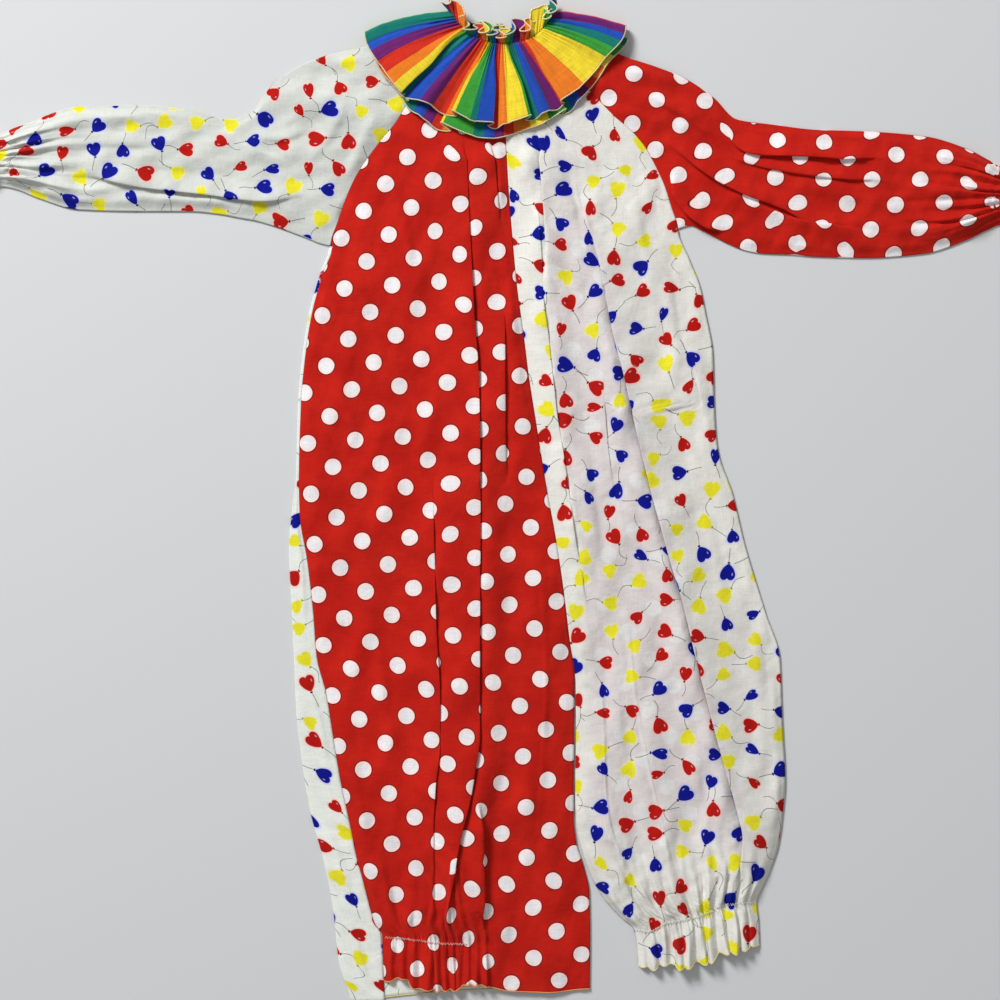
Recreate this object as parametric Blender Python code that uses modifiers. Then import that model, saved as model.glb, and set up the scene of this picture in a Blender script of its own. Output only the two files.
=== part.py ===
"""Clown costume laid flat on its back: a one-piece suit with raglan sleeves and a two-layer ruffle collar.

Metres, +Z up. The suit lies on z = 0 with its neck towards +Y and the wearer's left side towards +X.
Outline tables give heights up from the lowest hem and distances across from the middle of the neck;
CENTRE then moves the whole suit so that the origin lies under the middle of its outline.
Each piece is drawn by its outer face, and Solidify adds the cloth's thickness on the inside.
"""

import math

import bpy
import numpy as np

# ---- driving dimensions (metres) ----
WALL = 0.0010  # cloth thickness
GAP = 0.0004  # clear space between pieces at a seam and between layers
CENTRE = (0.0, 0.5880)  # middle of the outline, in table coordinates
FRONT_TOP = 2 * WALL + GAP  # outer face of the front where it lies on the back
PUFF = 0.0012  # how far a front panel stands up between its seams
EDGE_FADE = 0.012  # folds die away this near an edge

NECK = (0.0, 1.165)  # pole that the collar fans out from
LIFT = 0.0032  # the back is held up by the ruffles under it, this much
LIFT_SPARE = 0.0008  # extra room between back and front over the ruffles
LIFT_FULL, LIFT_NONE = 0.142, 0.205  # distances from the neck line
NECK_HALF = 0.056  # half the width of the flattened neck

BODY_COLUMNS = 36
GATHER_STEP = 3  # columns to one gather on the body
CUFF_STEP = 4  # and on a sleeve
BACK_COLUMNS = 10
WRAP_COLUMNS = 2
SLEEVE_COLUMNS = 20
SLEEVE_BACK_COLUMNS = 10
UNDERARM_STOP = 0.0022  # a sleeve's seam ends this far short of the body's underarm corner

# ---- outline tables: (height, across) ----
SIDE_FOLD_RIGHT = [  # outer edge on the wearer's right, a fold of the white back
    (0.000, -0.1785), (0.047, -0.1920), (0.106, -0.1985), (0.166, -0.2100), (0.230, -0.2270),
    (0.294, -0.2370), (0.344, -0.2425), (0.403, -0.2450), (0.470, -0.2480), (0.536, -0.2510),
    (0.579, -0.2475), (0.616, -0.2430), (0.708, -0.2400), (0.767, -0.2345), (0.811, -0.2275),
    (0.860, -0.2140), (0.892, -0.2030),
]
SIDE_SEAM_RIGHT = [  # where the back, folded over to the front, meets the front
    (0.000, -0.1380), (0.042, -0.1397), (0.080, -0.1410), (0.093, -0.1495), (0.142, -0.1630),
    (0.175, -0.1720), (0.208, -0.1785), (0.261, -0.1900), (0.315, -0.1990), (0.365, -0.2070),
    (0.407, -0.2180), (0.458, -0.2220), (0.520, -0.2290), (0.575, -0.2380), (0.616, -0.2390),
    (0.708, -0.2365), (0.767, -0.2310), (0.811, -0.2240), (0.860, -0.2105), (0.892, -0.1995),
]
SIDE_LEFT = [
    (0.060, 0.3040), (0.095, 0.3030), (0.119, 0.3005), (0.133, 0.3060), (0.155, 0.3160),
    (0.187, 0.3265), (0.218, 0.3310), (0.262, 0.3345), (0.332, 0.3310), (0.407, 0.3280),
    (0.457, 0.3120), (0.494, 0.3005), (0.543, 0.2860), (0.601, 0.2720), (0.643, 0.2570),
    (0.666, 0.2530), (0.708, 0.2505), (0.764, 0.2490), (0.815, 0.2400), (0.844, 0.2340),
    (0.877, 0.2210), (0.912, 0.2080),
]
RAGLAN_RIGHT = [
    (0.892, -0.2020), (0.920, -0.1935), (0.970, -0.1740), (1.012, -0.1455), (1.037, -0.1245),
    (1.057, -0.1120), (1.133, -0.0410),
]
RAGLAN_LEFT = [
    (0.912, 0.2080), (0.936, 0.2008), (0.962, 0.1925), (0.989, 0.1800), (1.007, 0.1700),
    (1.025, 0.1550), (1.043, 0.1340), (1.074, 0.1035), (1.133, 0.0376),
]
CENTRE_SEAM = [
    (0.380, 0.0865), (0.428, 0.0800), (0.486, 0.0730), (0.549, 0.0635), (0.601, 0.0540),
    (0.643, 0.0470), (0.687, 0.0400), (0.738, 0.0320), (0.790, 0.0255), (0.844, 0.0180),
    (0.898, 0.0130), (0.961, 0.0080), (1.015, 0.0050), (1.128, 0.0000),
]
INSEAM_RIGHT = [
    (0.000, 0.1040), (0.080, 0.1045), (0.130, 0.1035), (0.160, 0.0970), (0.187, 0.0885),
    (0.218, 0.0850), (0.319, 0.0855), (0.380, 0.0860),
]
INSEAM_LEFT = [
    (0.040, 0.1610), (0.062, 0.1600), (0.088, 0.1550), (0.099, 0.1420), (0.127, 0.1170),
    (0.158, 0.1010), (0.187, 0.0920), (0.218, 0.0870), (0.252, 0.0865), (0.319, 0.0875),
    (0.380, 0.0870),
]

# ---- rows of the body, top to bottom: (height at the side, height at the middle) ----
UNDERARM_RIGHT, UNDERARM_LEFT, CROTCH = 0.892, 0.912, 0.380
SHARED_ROWS = [
    1.095, 1.055, 1.015, 0.975, 0.940, UNDERARM_LEFT, UNDERARM_RIGHT, 0.845, 0.775, 0.700,
    0.620, 0.540, 0.460, CROTCH, 0.320,
]
NECK_ROW = (1.133, 1.128)
RIGHT_LEG_ROWS = [
    (0.260, 0.260), (0.210, 0.210), (0.165, 0.165), (0.130, 0.130), (0.100, 0.100),
    (0.080, 0.080), (0.066, 0.066), (0.044, 0.040), (0.022, 0.015),
]
LEFT_LEG_ROWS = [
    (0.265, 0.256), (0.220, 0.202), (0.184, 0.155), (0.155, 0.125), (0.134, 0.103),
    (0.119, 0.088), (0.108, 0.076), (0.090, 0.062), (0.070, 0.046),
]
BACK_HEM_RIGHT = (0.000, 0.018)
HEM_CURVE = 2.5  # the back's hem rises to the front's more quickly near the side fold
ELASTIC_ROW = 5  # which row of a leg the ankle elastic runs along

# ---- folds of the front: crest lines (height, across, rise), from top to bottom ----
FOLD_F1 = [
    (1.020, -0.0450, 0.0010), (0.961, -0.0400, 0.0040), (0.898, -0.0360, 0.0055),
    (0.790, -0.0290, 0.0065), (0.687, -0.0255, 0.0070), (0.540, -0.0250, 0.0060),
    (0.400, -0.0250, 0.0060), (0.300, -0.0280, 0.0070), (0.243, -0.0340, 0.0070),
    (0.165, -0.0330, 0.0060), (0.120, -0.0300, 0.0030), (0.080, -0.0270, 0.0000),
]
FOLD_F3 = [
    (0.700, -0.0860, 0.0000), (0.626, -0.0810, 0.0030), (0.534, -0.0790, 0.0055),
    (0.428, -0.0760, 0.0060), (0.346, -0.0715, 0.0060), (0.243, -0.0755, 0.0055),
    (0.130, -0.0820, 0.0050), (0.080, -0.0850, 0.0000),
]
FOLD_G1 = [
    (1.030, 0.0410, 0.0010), (0.970, 0.0490, 0.0040), (0.898, 0.0530, 0.0050),
    (0.790, 0.0560, 0.0060), (0.695, 0.0660, 0.0060), (0.618, 0.0760, 0.0055),
    (0.532, 0.0900, 0.0050), (0.440, 0.1020, 0.0040), (0.320, 0.1080, 0.0040),
    (0.200, 0.1160, 0.0040), (0.120, 0.1600, 0.0020), (0.088, 0.1800, 0.0000),
]
FOLD_G2 = [
    (0.960, 0.1010, 0.0000), (0.898, 0.1090, 0.0030), (0.827, 0.1200, 0.0050),
    (0.764, 0.1365, 0.0065), (0.695, 0.1550, 0.0080), (0.604, 0.1780, 0.0085),
    (0.518, 0.2015, 0.0085), (0.416, 0.2276, 0.0085), (0.331, 0.2497, 0.0090),
    (0.253, 0.2685, 0.0090), (0.190, 0.2780, 0.0075), (0.130, 0.2640, 0.0030),
    (0.100, 0.2550, 0.0000),
]
FOLD_HALF = 0.016  # half the width of a fold at its foot
FOLD_LEAN = 0.5  # how far the crest leans, as a share of its rise
RIGHT_FRONT_FOLDS = [(19 / 36, FOLD_F3, 1.0), (28 / 36, FOLD_F1, 1.0)]  # (column share, crest line, lean)
LEFT_FRONT_FOLDS = [(6 / 36, FOLD_G1, 1.0), (24 / 36, FOLD_G2, -1.0)]

# ---- gathers at the elastic: rise by distance above (+) or below (-) it ----
GATHER_RISE = [
    (-0.060, 0.0068), (-0.030, 0.0060), (-0.012, 0.0042), (0.000, 0.0034), (0.015, 0.0048),
    (0.040, 0.0050), (0.085, 0.0024), (0.140, 0.0000),
]

# ---- sleeves, from the raglan seam to the cuff's hem: (top across, height, bottom across, height) ----
SLEEVE_RIGHT_STATIONS = [
    (-0.110, 1.135, -0.214, 0.896), (-0.165, 1.124, -0.229, 0.902), (-0.222, 1.110, -0.250, 0.910),
    (-0.262, 1.088, -0.273, 0.918), (-0.281, 1.069, -0.291, 0.923), (-0.294, 1.050, -0.308, 0.926),
    (-0.319, 1.040, -0.335, 0.931),
    (-0.370, 1.052, -0.370, 0.934), (-0.430, 1.057, -0.428, 0.934), (-0.500, 1.055, -0.498, 0.936),
    (-0.550, 1.040, -0.548, 0.950), (-0.575, 1.030, -0.573, 0.960), (-0.590, 1.025, -0.589, 0.963),
    (-0.605, 1.030, -0.604, 0.957), (-0.625, 1.036, -0.625, 0.950),
]
SLEEVE_LEFT_STATIONS = [
    (0.100, 1.135, 0.222, 0.917), (0.144, 1.114, 0.236, 0.911), (0.180, 1.102, 0.250, 0.904),
    (0.218, 1.087, 0.268, 0.895), (0.250, 1.066, 0.288, 0.8875), (0.278, 1.040, 0.310, 0.884),
    (0.320, 1.034, 0.338, 0.883), (0.369, 1.028, 0.369, 0.8805), (0.430, 1.026, 0.430, 0.879),
    (0.500, 1.020, 0.498, 0.884), (0.550, 1.005, 0.548, 0.900), (0.575, 0.992, 0.573, 0.912),
    (0.590, 0.985, 0.589, 0.918), (0.605, 0.990, 0.604, 0.912), (0.625, 0.997, 0.625, 0.905),
]
SLEEVE_ELASTIC = 0.590  # distance across of the cuff's elastic
NECK_CORNER = (0.050, 1.147)  # where a sleeve's top fold meets the neck
SEAM_SHAPE_LENGTH = 0.12  # the raglan's curve straightens out over this far along the sleeve
SLEEVE_FOLDS = [(0.30, 0.0030, 0.10), (0.74, 0.0045, 0.07)]  # (share across, rise, half width share)

# ---- collar, in polar form round NECK: (degrees from straight down, elastic, long rim, short rim) ----
COLLAR_RIM = [
    (-80, 0.0560, 0.1590, 0.1630), (-65, 0.0500, 0.1580, 0.1560), (-50, 0.0450, 0.1530, 0.1500),
    (-35, 0.0410, 0.1550, 0.1370), (-20, 0.0385, 0.1505, 0.1330), (-5, 0.0375, 0.1485, 0.1340),
    (12, 0.0380, 0.1400, 0.1290), (30, 0.0410, 0.1385, 0.1290), (45, 0.0460, 0.1370, 0.1280),
    (60, 0.0510, 0.1375, 0.1310), (80, 0.0570, 0.1530, 0.1470),
]
COLLAR_HALF_ANGLE = 80
COLLAR_SIDE_TURN = [(-1.0, 20), (0.0, 60), (0.3, 80), (1.0, 84)]  # which way side folds face
LONG_TUCK = 4.0  # degrees that the long ruffle's side folds sit inside the short one's
COLLAR_BOW = 0.08  # the side folds bow up by this share of their angle near the neck
COLLAR_REACH = 0.163  # and straighten out by this distance from it
BACK_DIP = 0.0095  # the back of the neck is cut this much higher than the front
BACK_RIM_SHARE = 0.96  # the back ruffles lie under the front ones
HEADER = 0.017  # frill above the elastic
HEADER_SPREAD = 0.005
COLLAR_ROWS = [-1.0, -0.5, 0.0, 0.3, 0.65, 1.0]  # -1 is the frill's edge, 0 the elastic, 1 the rim
COLLAR_FLAPS = [-80, -51, -26, -3.5, 14.7, 31.6, 56, 80]  # degrees at the valleys between the front's waves
COLLAR_FLAP_COLUMNS = 8
COLLAR_BACK_COLUMNS = 12
LONG_CLEAR = 0.0034  # long ruffle above the front panels
SHORT_CLEAR = 0.0012  # short ruffle above the long one
WAVE_RISE = [(-1.0, 0.0045), (0.0, 0.0016), (0.4, 0.0030), (1.0, 0.0060)]
SHORT_EXTRA_RISE = 0.0015

RED = (0.72, 0.02, 0.015, 1.0)
WHITE = (0.86, 0.85, 0.84, 1.0)
RAINBOW = (0.85, 0.45, 0.05, 1.0)
CLOTH_ROUGHNESS = 0.85


def through(table, column=1):
    """A smooth function through a table's rows (place, value, ...): no overshoot, and flat past the ends."""
    rows = sorted(table)
    at = np.array([row[0] for row in rows])
    value = np.array([row[column] for row in rows])
    steps = np.diff(value) / np.diff(at)
    slopes = np.zeros(len(at))
    same_way = steps[:-1] * steps[1:] > 0
    slopes[1:-1][same_way] = 2 / (1 / steps[:-1][same_way] + 1 / steps[1:][same_way])

    def value_at(place):
        place = min(max(place, at[0]), at[-1])
        i = min(int(np.searchsorted(at, place, side="right")) - 1, len(at) - 2)
        width = at[i + 1] - at[i]
        t = (place - at[i]) / width
        rise = t * t * (3 - 2 * t)
        start_bend = t * (1 - t) ** 2 * slopes[i]
        end_bend = t * t * (1 - t) * slopes[i + 1]
        return float(value[i] + (value[i + 1] - value[i]) * rise + width * (start_bend - end_bend))

    return value_at


def ease(t):
    t = min(max(t, 0.0), 1.0)
    return t * t * (3 - 2 * t)


def bump(distance, half):
    """1 at the middle of a fold and 0 at its foot."""
    return math.cos(math.pi / 2 * min(abs(distance) / half, 1.0)) ** 2


def near_neck(x, y, reach_none):
    """1 over the ruffles that lie under the neck, easing to 0 away from them."""
    dx = max(abs(x) - NECK_HALF, 0.0)
    distance = math.hypot(dx, y - NECK[1])
    return ease((reach_none - distance) / (reach_none - LIFT_FULL))


def back_level(x, y):
    """Height of the back's outer face, which is its underside."""
    return LIFT * near_neck(x, y, LIFT_NONE)


def front_level(x, y):
    """Height of the front's outer face before folds."""
    return FRONT_TOP + (LIFT + LIFT_SPARE) * near_neck(x, y, LIFT_NONE + 0.012)


def body_rows(leg_rows, neck_row=NECK_ROW, hem=None):
    rows = [neck_row] + [(height, height) for height in SHARED_ROWS] + leg_rows
    return rows[:-1] + [hem] if hem else rows


def edge_points(rows, which, lines, offset):
    """The points of one edge of a panel. lines are (lowest height, table) from top to bottom."""
    points = []
    for row in rows:
        height = row[which]
        table = next(t for lowest, t in lines if height >= lowest - 1e-9)
        points.append((through(table)(height) + offset, height))
    return points


def spread_columns(left, right, anchors, count):
    """Distances across of a row's columns, with each fold's crest on its own column."""
    shares = [(0.0, left), (1.0, right)]
    for share, x in anchors:
        least, most = left + (right - left) * share / 2, right - (right - left) * (1 - share) / 2
        shares.append((share, min(max(x, least), most)))
    return [through(shares)(i / count) for i in range(count + 1)]


def gather_wave(column, step):
    return 0.55 - 0.45 * math.cos(2 * math.pi * column / step)


def front_panel(rows, left_edge, right_edge, folds, side, gathered):
    """Outer face of a front panel, row by row. gathered gives a column's share of the gathers."""
    crests = [(share, through(line), through(line, 2), lean) for share, line, lean in folds]
    gather_rise = through(GATHER_RISE)
    elastic = rows[-len(RIGHT_LEG_ROWS) + ELASTIC_ROW]
    grid = []
    for row, (left_x, left_y), (right_x, right_y) in zip(rows, left_edge, right_edge):
        middle_height = (left_y + right_y) / 2
        anchors = [(share, across(middle_height)) for share, across, _, _ in crests]
        line = []
        for column, x in enumerate(spread_columns(left_x, right_x, anchors, BODY_COLUMNS)):
            share = (x - left_x) / (right_x - left_x)
            y = left_y + (right_y - left_y) * share
            edge = ease(min(x - left_x, right_x - x) / EDGE_FADE)
            z = front_level(x, y) + PUFF * math.sin(math.pi * share)
            shift = 0.0
            for _, across, rise, lean in crests:
                height = rise(middle_height) * bump(x - across(middle_height), FOLD_HALF) * edge
                z += height
                shift += lean * FOLD_LEAN * height
            above = middle_height - (elastic[0] + elastic[1]) / 2
            z += gather_rise(above) * gather_wave(column, GATHER_STEP) * gathered(share) * edge
            line.append((x + shift, y, z))
        grid.append(line)
    return grid


def flat_panel(left_edge, right_edge):
    """Outer face of a back panel, which is its underside."""
    grid = []
    for (left_x, left_y), (right_x, right_y) in zip(left_edge, right_edge):
        line = []
        for column in range(BACK_COLUMNS + 1):
            share = column / BACK_COLUMNS
            x, y = left_x + (right_x - left_x) * share, left_y + (right_y - left_y) * share
            line.append((x, y, back_level(x, y)))
        grid.append(line)
    return grid


def wrapped_panel(rows, right_edge):
    """Outer face of the right back, from its inner edge out, round the side fold and over to the seam."""
    fold, seam = through(SIDE_FOLD_RIGHT), through(SIDE_SEAM_RIGHT)
    raglan = through(RAGLAN_RIGHT)
    half = FRONT_TOP / 2
    grid = []
    for (side, _), (right_x, right_y) in zip(rows, right_edge):
        on_raglan = side > UNDERARM_RIGHT
        left_x = raglan(side) + GAP * 0.75 if on_raglan else fold(side) + half
        curve = HEM_CURVE if side == rows[-1][0] else 1
        line = []
        for column in range(BACK_COLUMNS + 1):
            share = column / BACK_COLUMNS
            x = right_x + (left_x - right_x) * share
            y = right_y + (side - right_y) * share**curve
            line.append((x, y, back_level(x, y)))
        if not on_raglan:
            line += wrap_line(left_x, seam(side) - GAP / 2, side, half)
        grid.append(line)
    return grid


def wrap_line(start_x, end_x, y, half):
    """The half round at the side fold and the strip above it, out to the seam."""
    points = []
    for degrees in (45, 90, 135, 180):
        turn = math.radians(degrees)
        points.append((start_x - half * math.sin(turn), y, half - half * math.cos(turn)))
    for column in range(1, WRAP_COLUMNS + 1):
        points.append((start_x + (end_x - start_x) * column / WRAP_COLUMNS, y, FRONT_TOP))
    return points


def sleeve_stations(stations, raglan_rows, raglan, neck_height, sign, columns):
    """Each station as a list of plan points from the top fold to the bottom fold."""
    corner = (sign * NECK_CORNER[0], NECK_CORNER[1])
    heights = [neck_height] + raglan_rows
    seam = [corner] + [(raglan(h) + sign * GAP * 0.75, h) for h in heights]
    keep_share = 1 - UNDERARM_STOP / math.dist(seam[-2], seam[-1])
    seam[-1] = tuple(a + (b - a) * keep_share for a, b in zip(seam[-2], seam[-1]))
    start = resample(seam, columns)
    found = [start]
    for top_x, top_y, bottom_x, bottom_y in stations:
        reach = math.hypot(bottom_x - seam[-1][0], bottom_y - seam[-1][1])
        keep = 1 - ease(reach / SEAM_SHAPE_LENGTH)
        line = []
        for column, (sx, sy) in enumerate(start):
            share = column / columns
            off_x = sx - (start[0][0] + (start[-1][0] - start[0][0]) * share)
            off_y = sy - (start[0][1] + (start[-1][1] - start[0][1]) * share)
            x = top_x + (bottom_x - top_x) * share + keep * off_x
            y = top_y + (bottom_y - top_y) * share + keep * off_y
            line.append((x, y))
        found.append(line)
    return found


def resample(points, count):
    """count + 1 points along a broken line: all its corners, with spare ones on its longest stretches."""
    lengths = [math.dist(a, b) for a, b in zip(points, points[1:])]
    parts = [1] * len(lengths)
    while sum(parts) < count:
        longest = max(range(len(lengths)), key=lambda i: lengths[i] / parts[i])
        parts[longest] += 1
    found = [points[0]]
    for (ax, ay), (bx, by), n in zip(points, points[1:], parts):
        found += [(ax + (bx - ax) * k / n, ay + (by - ay) * k / n) for k in range(1, n + 1)]
    return found


def sleeve_surface(front_plan, back_plan):
    """Rings of a flattened sleeve's outer face: front from top to bottom, bottom fold, back, top fold."""
    gather_rise = through(GATHER_RISE)
    rings = []
    for station, (line, under) in enumerate(zip(front_plan, back_plan)):
        (top_x, top_y), (bottom_x, bottom_y) = line[0], line[-1]
        length = math.dist(line[0], line[-1])
        down_x, down_y = (bottom_x - top_x) / length, (bottom_y - top_y) / length
        ring = []
        for column, (x, y) in enumerate(line):
            share = column / SLEEVE_COLUMNS
            off_seam = ease(station / 3)
            edge = ease(min(share, 1 - share) * length / EDGE_FADE)
            rise = sum(h * bump(share - at, half) for at, h, half in SLEEVE_FOLDS)
            above = SLEEVE_ELASTIC - abs(x)
            rise += gather_rise(above) * gather_wave(column, CUFF_STEP)
            z = front_level(x, y) + (rise + PUFF * math.sin(math.pi * share)) * edge * off_seam
            ring.append((x, y, z))
        ring += fold_arc(bottom_x, bottom_y, down_x, down_y, 1)
        ring += [(x, y, back_level(x, y)) for x, y in reversed(under)]
        ring += fold_arc(top_x, top_y, -down_x, -down_y, -1)
        rings.append(ring)
    return rings


def fold_arc(x, y, out_x, out_y, way):
    """Two points round a fold, from front to back when way is 1 and back to front when it is -1."""
    low, high = back_level(x, y), front_level(x, y)
    half, middle = (high - low) / 2, (high + low) / 2
    points = []
    for degrees in (60, 120):
        turn = math.radians(degrees)
        out = half * math.sin(turn)
        points.append((x + out * out_x, y + out * out_y, middle + way * half * math.cos(turn)))
    return points


def collar_plan(degrees, row, rim_column, back):
    """Where a point of the collar lies in plan."""
    neck = through(COLLAR_RIM, 1)(degrees)
    rim = through(COLLAR_RIM, rim_column)(degrees)
    middle = math.cos(math.radians(90 * degrees / COLLAR_HALF_ANGLE))
    if back:
        neck -= BACK_DIP * middle
        rim *= 1 - (1 - BACK_RIM_SHARE) * ease(middle * 3)
    radius = neck + (rim - neck) * max(row, 0.0)
    turn = math.radians(degrees * (1 + COLLAR_BOW * (1 - (radius / COLLAR_REACH) ** 3)))
    x = NECK[0] + radius * math.sin(turn)
    y = NECK[1] - radius * math.cos(turn)
    if row < 0:
        x += -row * HEADER_SPREAD * degrees / COLLAR_HALF_ANGLE
        y += -row * HEADER
    return x, y


def collar_wave(degrees, row):
    place = np.interp(degrees, COLLAR_FLAPS, range(len(COLLAR_FLAPS)))
    return through(WAVE_RISE)(row) * (0.5 - 0.5 * math.cos(2 * math.pi * place))


def collar_front(degrees, row, rim_column, short):
    x, y = collar_plan(degrees, row, rim_column, False)
    z = front_level(x, y) + LONG_CLEAR + WALL + collar_wave(degrees, row)
    if short:
        extra = collar_wave(degrees, row) / 0.006
        z += WALL + SHORT_CLEAR + SHORT_EXTRA_RISE * extra
    return x, y, z


def collar_back(degrees, row, rim_column, short):
    x, y = collar_plan(degrees, row, rim_column, True)
    return x, y, 0.0 if short else WALL + GAP


def collar_rings(rim_column, short):
    """Rings of one ruffle, from the frill's edge to the rim, each all the way round the neck."""
    half = COLLAR_HALF_ANGLE - (0 if short else LONG_TUCK)
    waves = len(COLLAR_FLAPS) - 1
    front_count = waves * COLLAR_FLAP_COLUMNS
    places = [column / COLLAR_FLAP_COLUMNS for column in range(front_count + 1)]
    spread = np.interp(places, range(waves + 1), COLLAR_FLAPS) * half / COLLAR_HALF_ANGLE
    grid = []
    for row in COLLAR_ROWS if short else COLLAR_ROWS[2:]:
        ring = []
        for degrees in spread:
            ring.append(collar_front(degrees, row, rim_column, short))
        ring += collar_side(half, row, rim_column, short)
        for i in range(COLLAR_BACK_COLUMNS + 1):
            degrees = half - 2 * half * i / COLLAR_BACK_COLUMNS
            ring.append(collar_back(degrees, row, rim_column, short))
        ring += collar_side(-half, row, rim_column, short)[::-1]
        grid.append(ring)
    return grid


def collar_side(degrees, row, rim_column, short):
    """Three points round a side fold, from front to back."""
    x, y, high = collar_front(degrees, row, rim_column, short)
    low = collar_back(degrees, row, rim_column, short)[2]
    half, middle = (high - low) / 2, (high + low) / 2
    facing = math.radians(through(COLLAR_SIDE_TURN)(row))
    out_x, out_y = math.copysign(math.cos(facing), degrees), math.sin(facing)
    points = []
    for turn in (math.radians(45), math.radians(90), math.radians(135)):
        out = half * math.sin(turn)
        points.append((x + out * out_x, y + out * out_y, middle + half * math.cos(turn)))
    return points


def material(name, colour):
    made = bpy.data.materials.new(name)
    made.use_nodes = True
    shader = made.node_tree.nodes["Principled BSDF"]
    shader.inputs["Base Color"].default_value = colour
    shader.inputs["Roughness"].default_value = CLOTH_ROUGHNESS
    return made


def cloth_object(name, grid, closed, outside_up, finish, collection):
    """A piece made of its outer face, row by row, with Solidify for the wall inside it."""
    points = [(x - CENTRE[0], y - CENTRE[1], z) for row in grid for x, y, z in row]
    faces = []
    start = 0
    for row, below in zip(grid, grid[1:]):
        across = len(row)
        for column in range(across if closed else min(across, len(below)) - 1):
            a, b = start + column, start + (column + 1) % across
            face = (a, a + across, b + across, b)
            faces.append(face if outside_up else face[::-1])
        start += across
    mesh = bpy.data.meshes.new(name)
    mesh.from_pydata(points, [], faces)
    mesh.update()
    mesh.shade_smooth()
    mesh.materials.append(finish)
    piece = bpy.data.objects.new(name, mesh)
    collection.objects.link(piece)
    solidify = piece.modifiers.new("Cloth", "SOLIDIFY")
    solidify.thickness = WALL
    solidify.offset = -1.0
    solidify.use_even_offset = not name.startswith("collar")
    return piece


def build_right_front(rows, red, collection):
    raglan = [(UNDERARM_RIGHT + 1e-6, RAGLAN_RIGHT), (0.0, SIDE_SEAM_RIGHT)]
    left_edge = edge_points(rows, 0, raglan, GAP * 0.75)
    middle = [(CROTCH + 1e-6, CENTRE_SEAM), (0.0, INSEAM_RIGHT)]
    right_edge = edge_points(rows, 1, middle, -GAP / 2)

    def gathered(share):
        return 1 - ease((share - 0.56) / 0.08)

    grid = front_panel(rows, left_edge, right_edge, RIGHT_FRONT_FOLDS, -1, gathered)
    return cloth_object("front_right", grid, False, True, red, collection)


def build_left_front(rows, white, collection):
    middle = [(CROTCH + 1e-6, CENTRE_SEAM), (0.0, INSEAM_LEFT)]
    left_edge = edge_points(rows, 1, middle, GAP / 2)
    side = [(UNDERARM_LEFT, RAGLAN_LEFT), (0.0, SIDE_LEFT)]
    right_edge = edge_points(rows, 0, side, -GAP * 0.75)
    grid = front_panel(rows, left_edge, right_edge, LEFT_FRONT_FOLDS, 1, lambda share: 1.0)
    return cloth_object("front_left", grid, False, True, white, collection)


def build_left_back(rows, red, collection):
    middle = [(CROTCH + 1e-6, CENTRE_SEAM), (0.0, INSEAM_LEFT)]
    left_edge = edge_points(rows, 1, middle, GAP / 2)
    side = [(UNDERARM_LEFT, RAGLAN_LEFT), (0.0, SIDE_LEFT)]
    right_edge = edge_points(rows, 0, side, -GAP * 0.75)
    return cloth_object("back_left", flat_panel(left_edge, right_edge), False, False, red, collection)


def build_right_back(rows, white, collection):
    middle = [(CROTCH + 1e-6, CENTRE_SEAM), (0.0, INSEAM_RIGHT)]
    right_edge = edge_points(rows, 1, middle, -GAP / 2)
    return cloth_object("back_right", wrapped_panel(rows, right_edge), False, True, white, collection)


def build_sleeve(name, stations, raglan_table, underarm, sign, finish, collection):
    raglan_rows = [height for height in SHARED_ROWS if height >= underarm - 1e-9]
    plans = [
        sleeve_stations(stations, raglan_rows, through(raglan_table), NECK_ROW[0], sign, columns)
        for columns in (SLEEVE_COLUMNS, SLEEVE_BACK_COLUMNS)
    ]
    return cloth_object(name, sleeve_surface(*plans), True, sign < 0, finish, collection)


def main():
    for old in list(bpy.data.objects):
        bpy.data.objects.remove(old)
    collection = bpy.data.collections.new("clown_costume")
    bpy.context.scene.collection.children.link(collection)
    red, white = material("red_polka_dot", RED), material("white_balloon", WHITE)
    rainbow = material("rainbow_stripe", RAINBOW)

    right_rows, left_rows = body_rows(RIGHT_LEG_ROWS), body_rows(LEFT_LEG_ROWS)
    build_right_front(right_rows, red, collection)
    build_right_back(body_rows(RIGHT_LEG_ROWS, hem=BACK_HEM_RIGHT), white, collection)
    build_left_front(left_rows, white, collection)
    build_left_back(left_rows, red, collection)

    build_sleeve("sleeve_right", SLEEVE_RIGHT_STATIONS, RAGLAN_RIGHT, UNDERARM_RIGHT, -1, white, collection)
    build_sleeve("sleeve_left", SLEEVE_LEFT_STATIONS, RAGLAN_LEFT, UNDERARM_LEFT, 1, red, collection)

    cloth_object("collar_long", collar_rings(2, False), True, True, rainbow, collection)
    cloth_object("collar_short", collar_rings(3, True), True, True, rainbow, collection)


main()
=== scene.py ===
"""Clown costume laid flat: the cloth as thin shells with their folds, gathers, prints, seams and serged edges.

Tables are in metres, with heights up from the lowest hem and distances across from the middle of the neck.
CENTRE moves them to the frame of the model.
"""

import math

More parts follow.
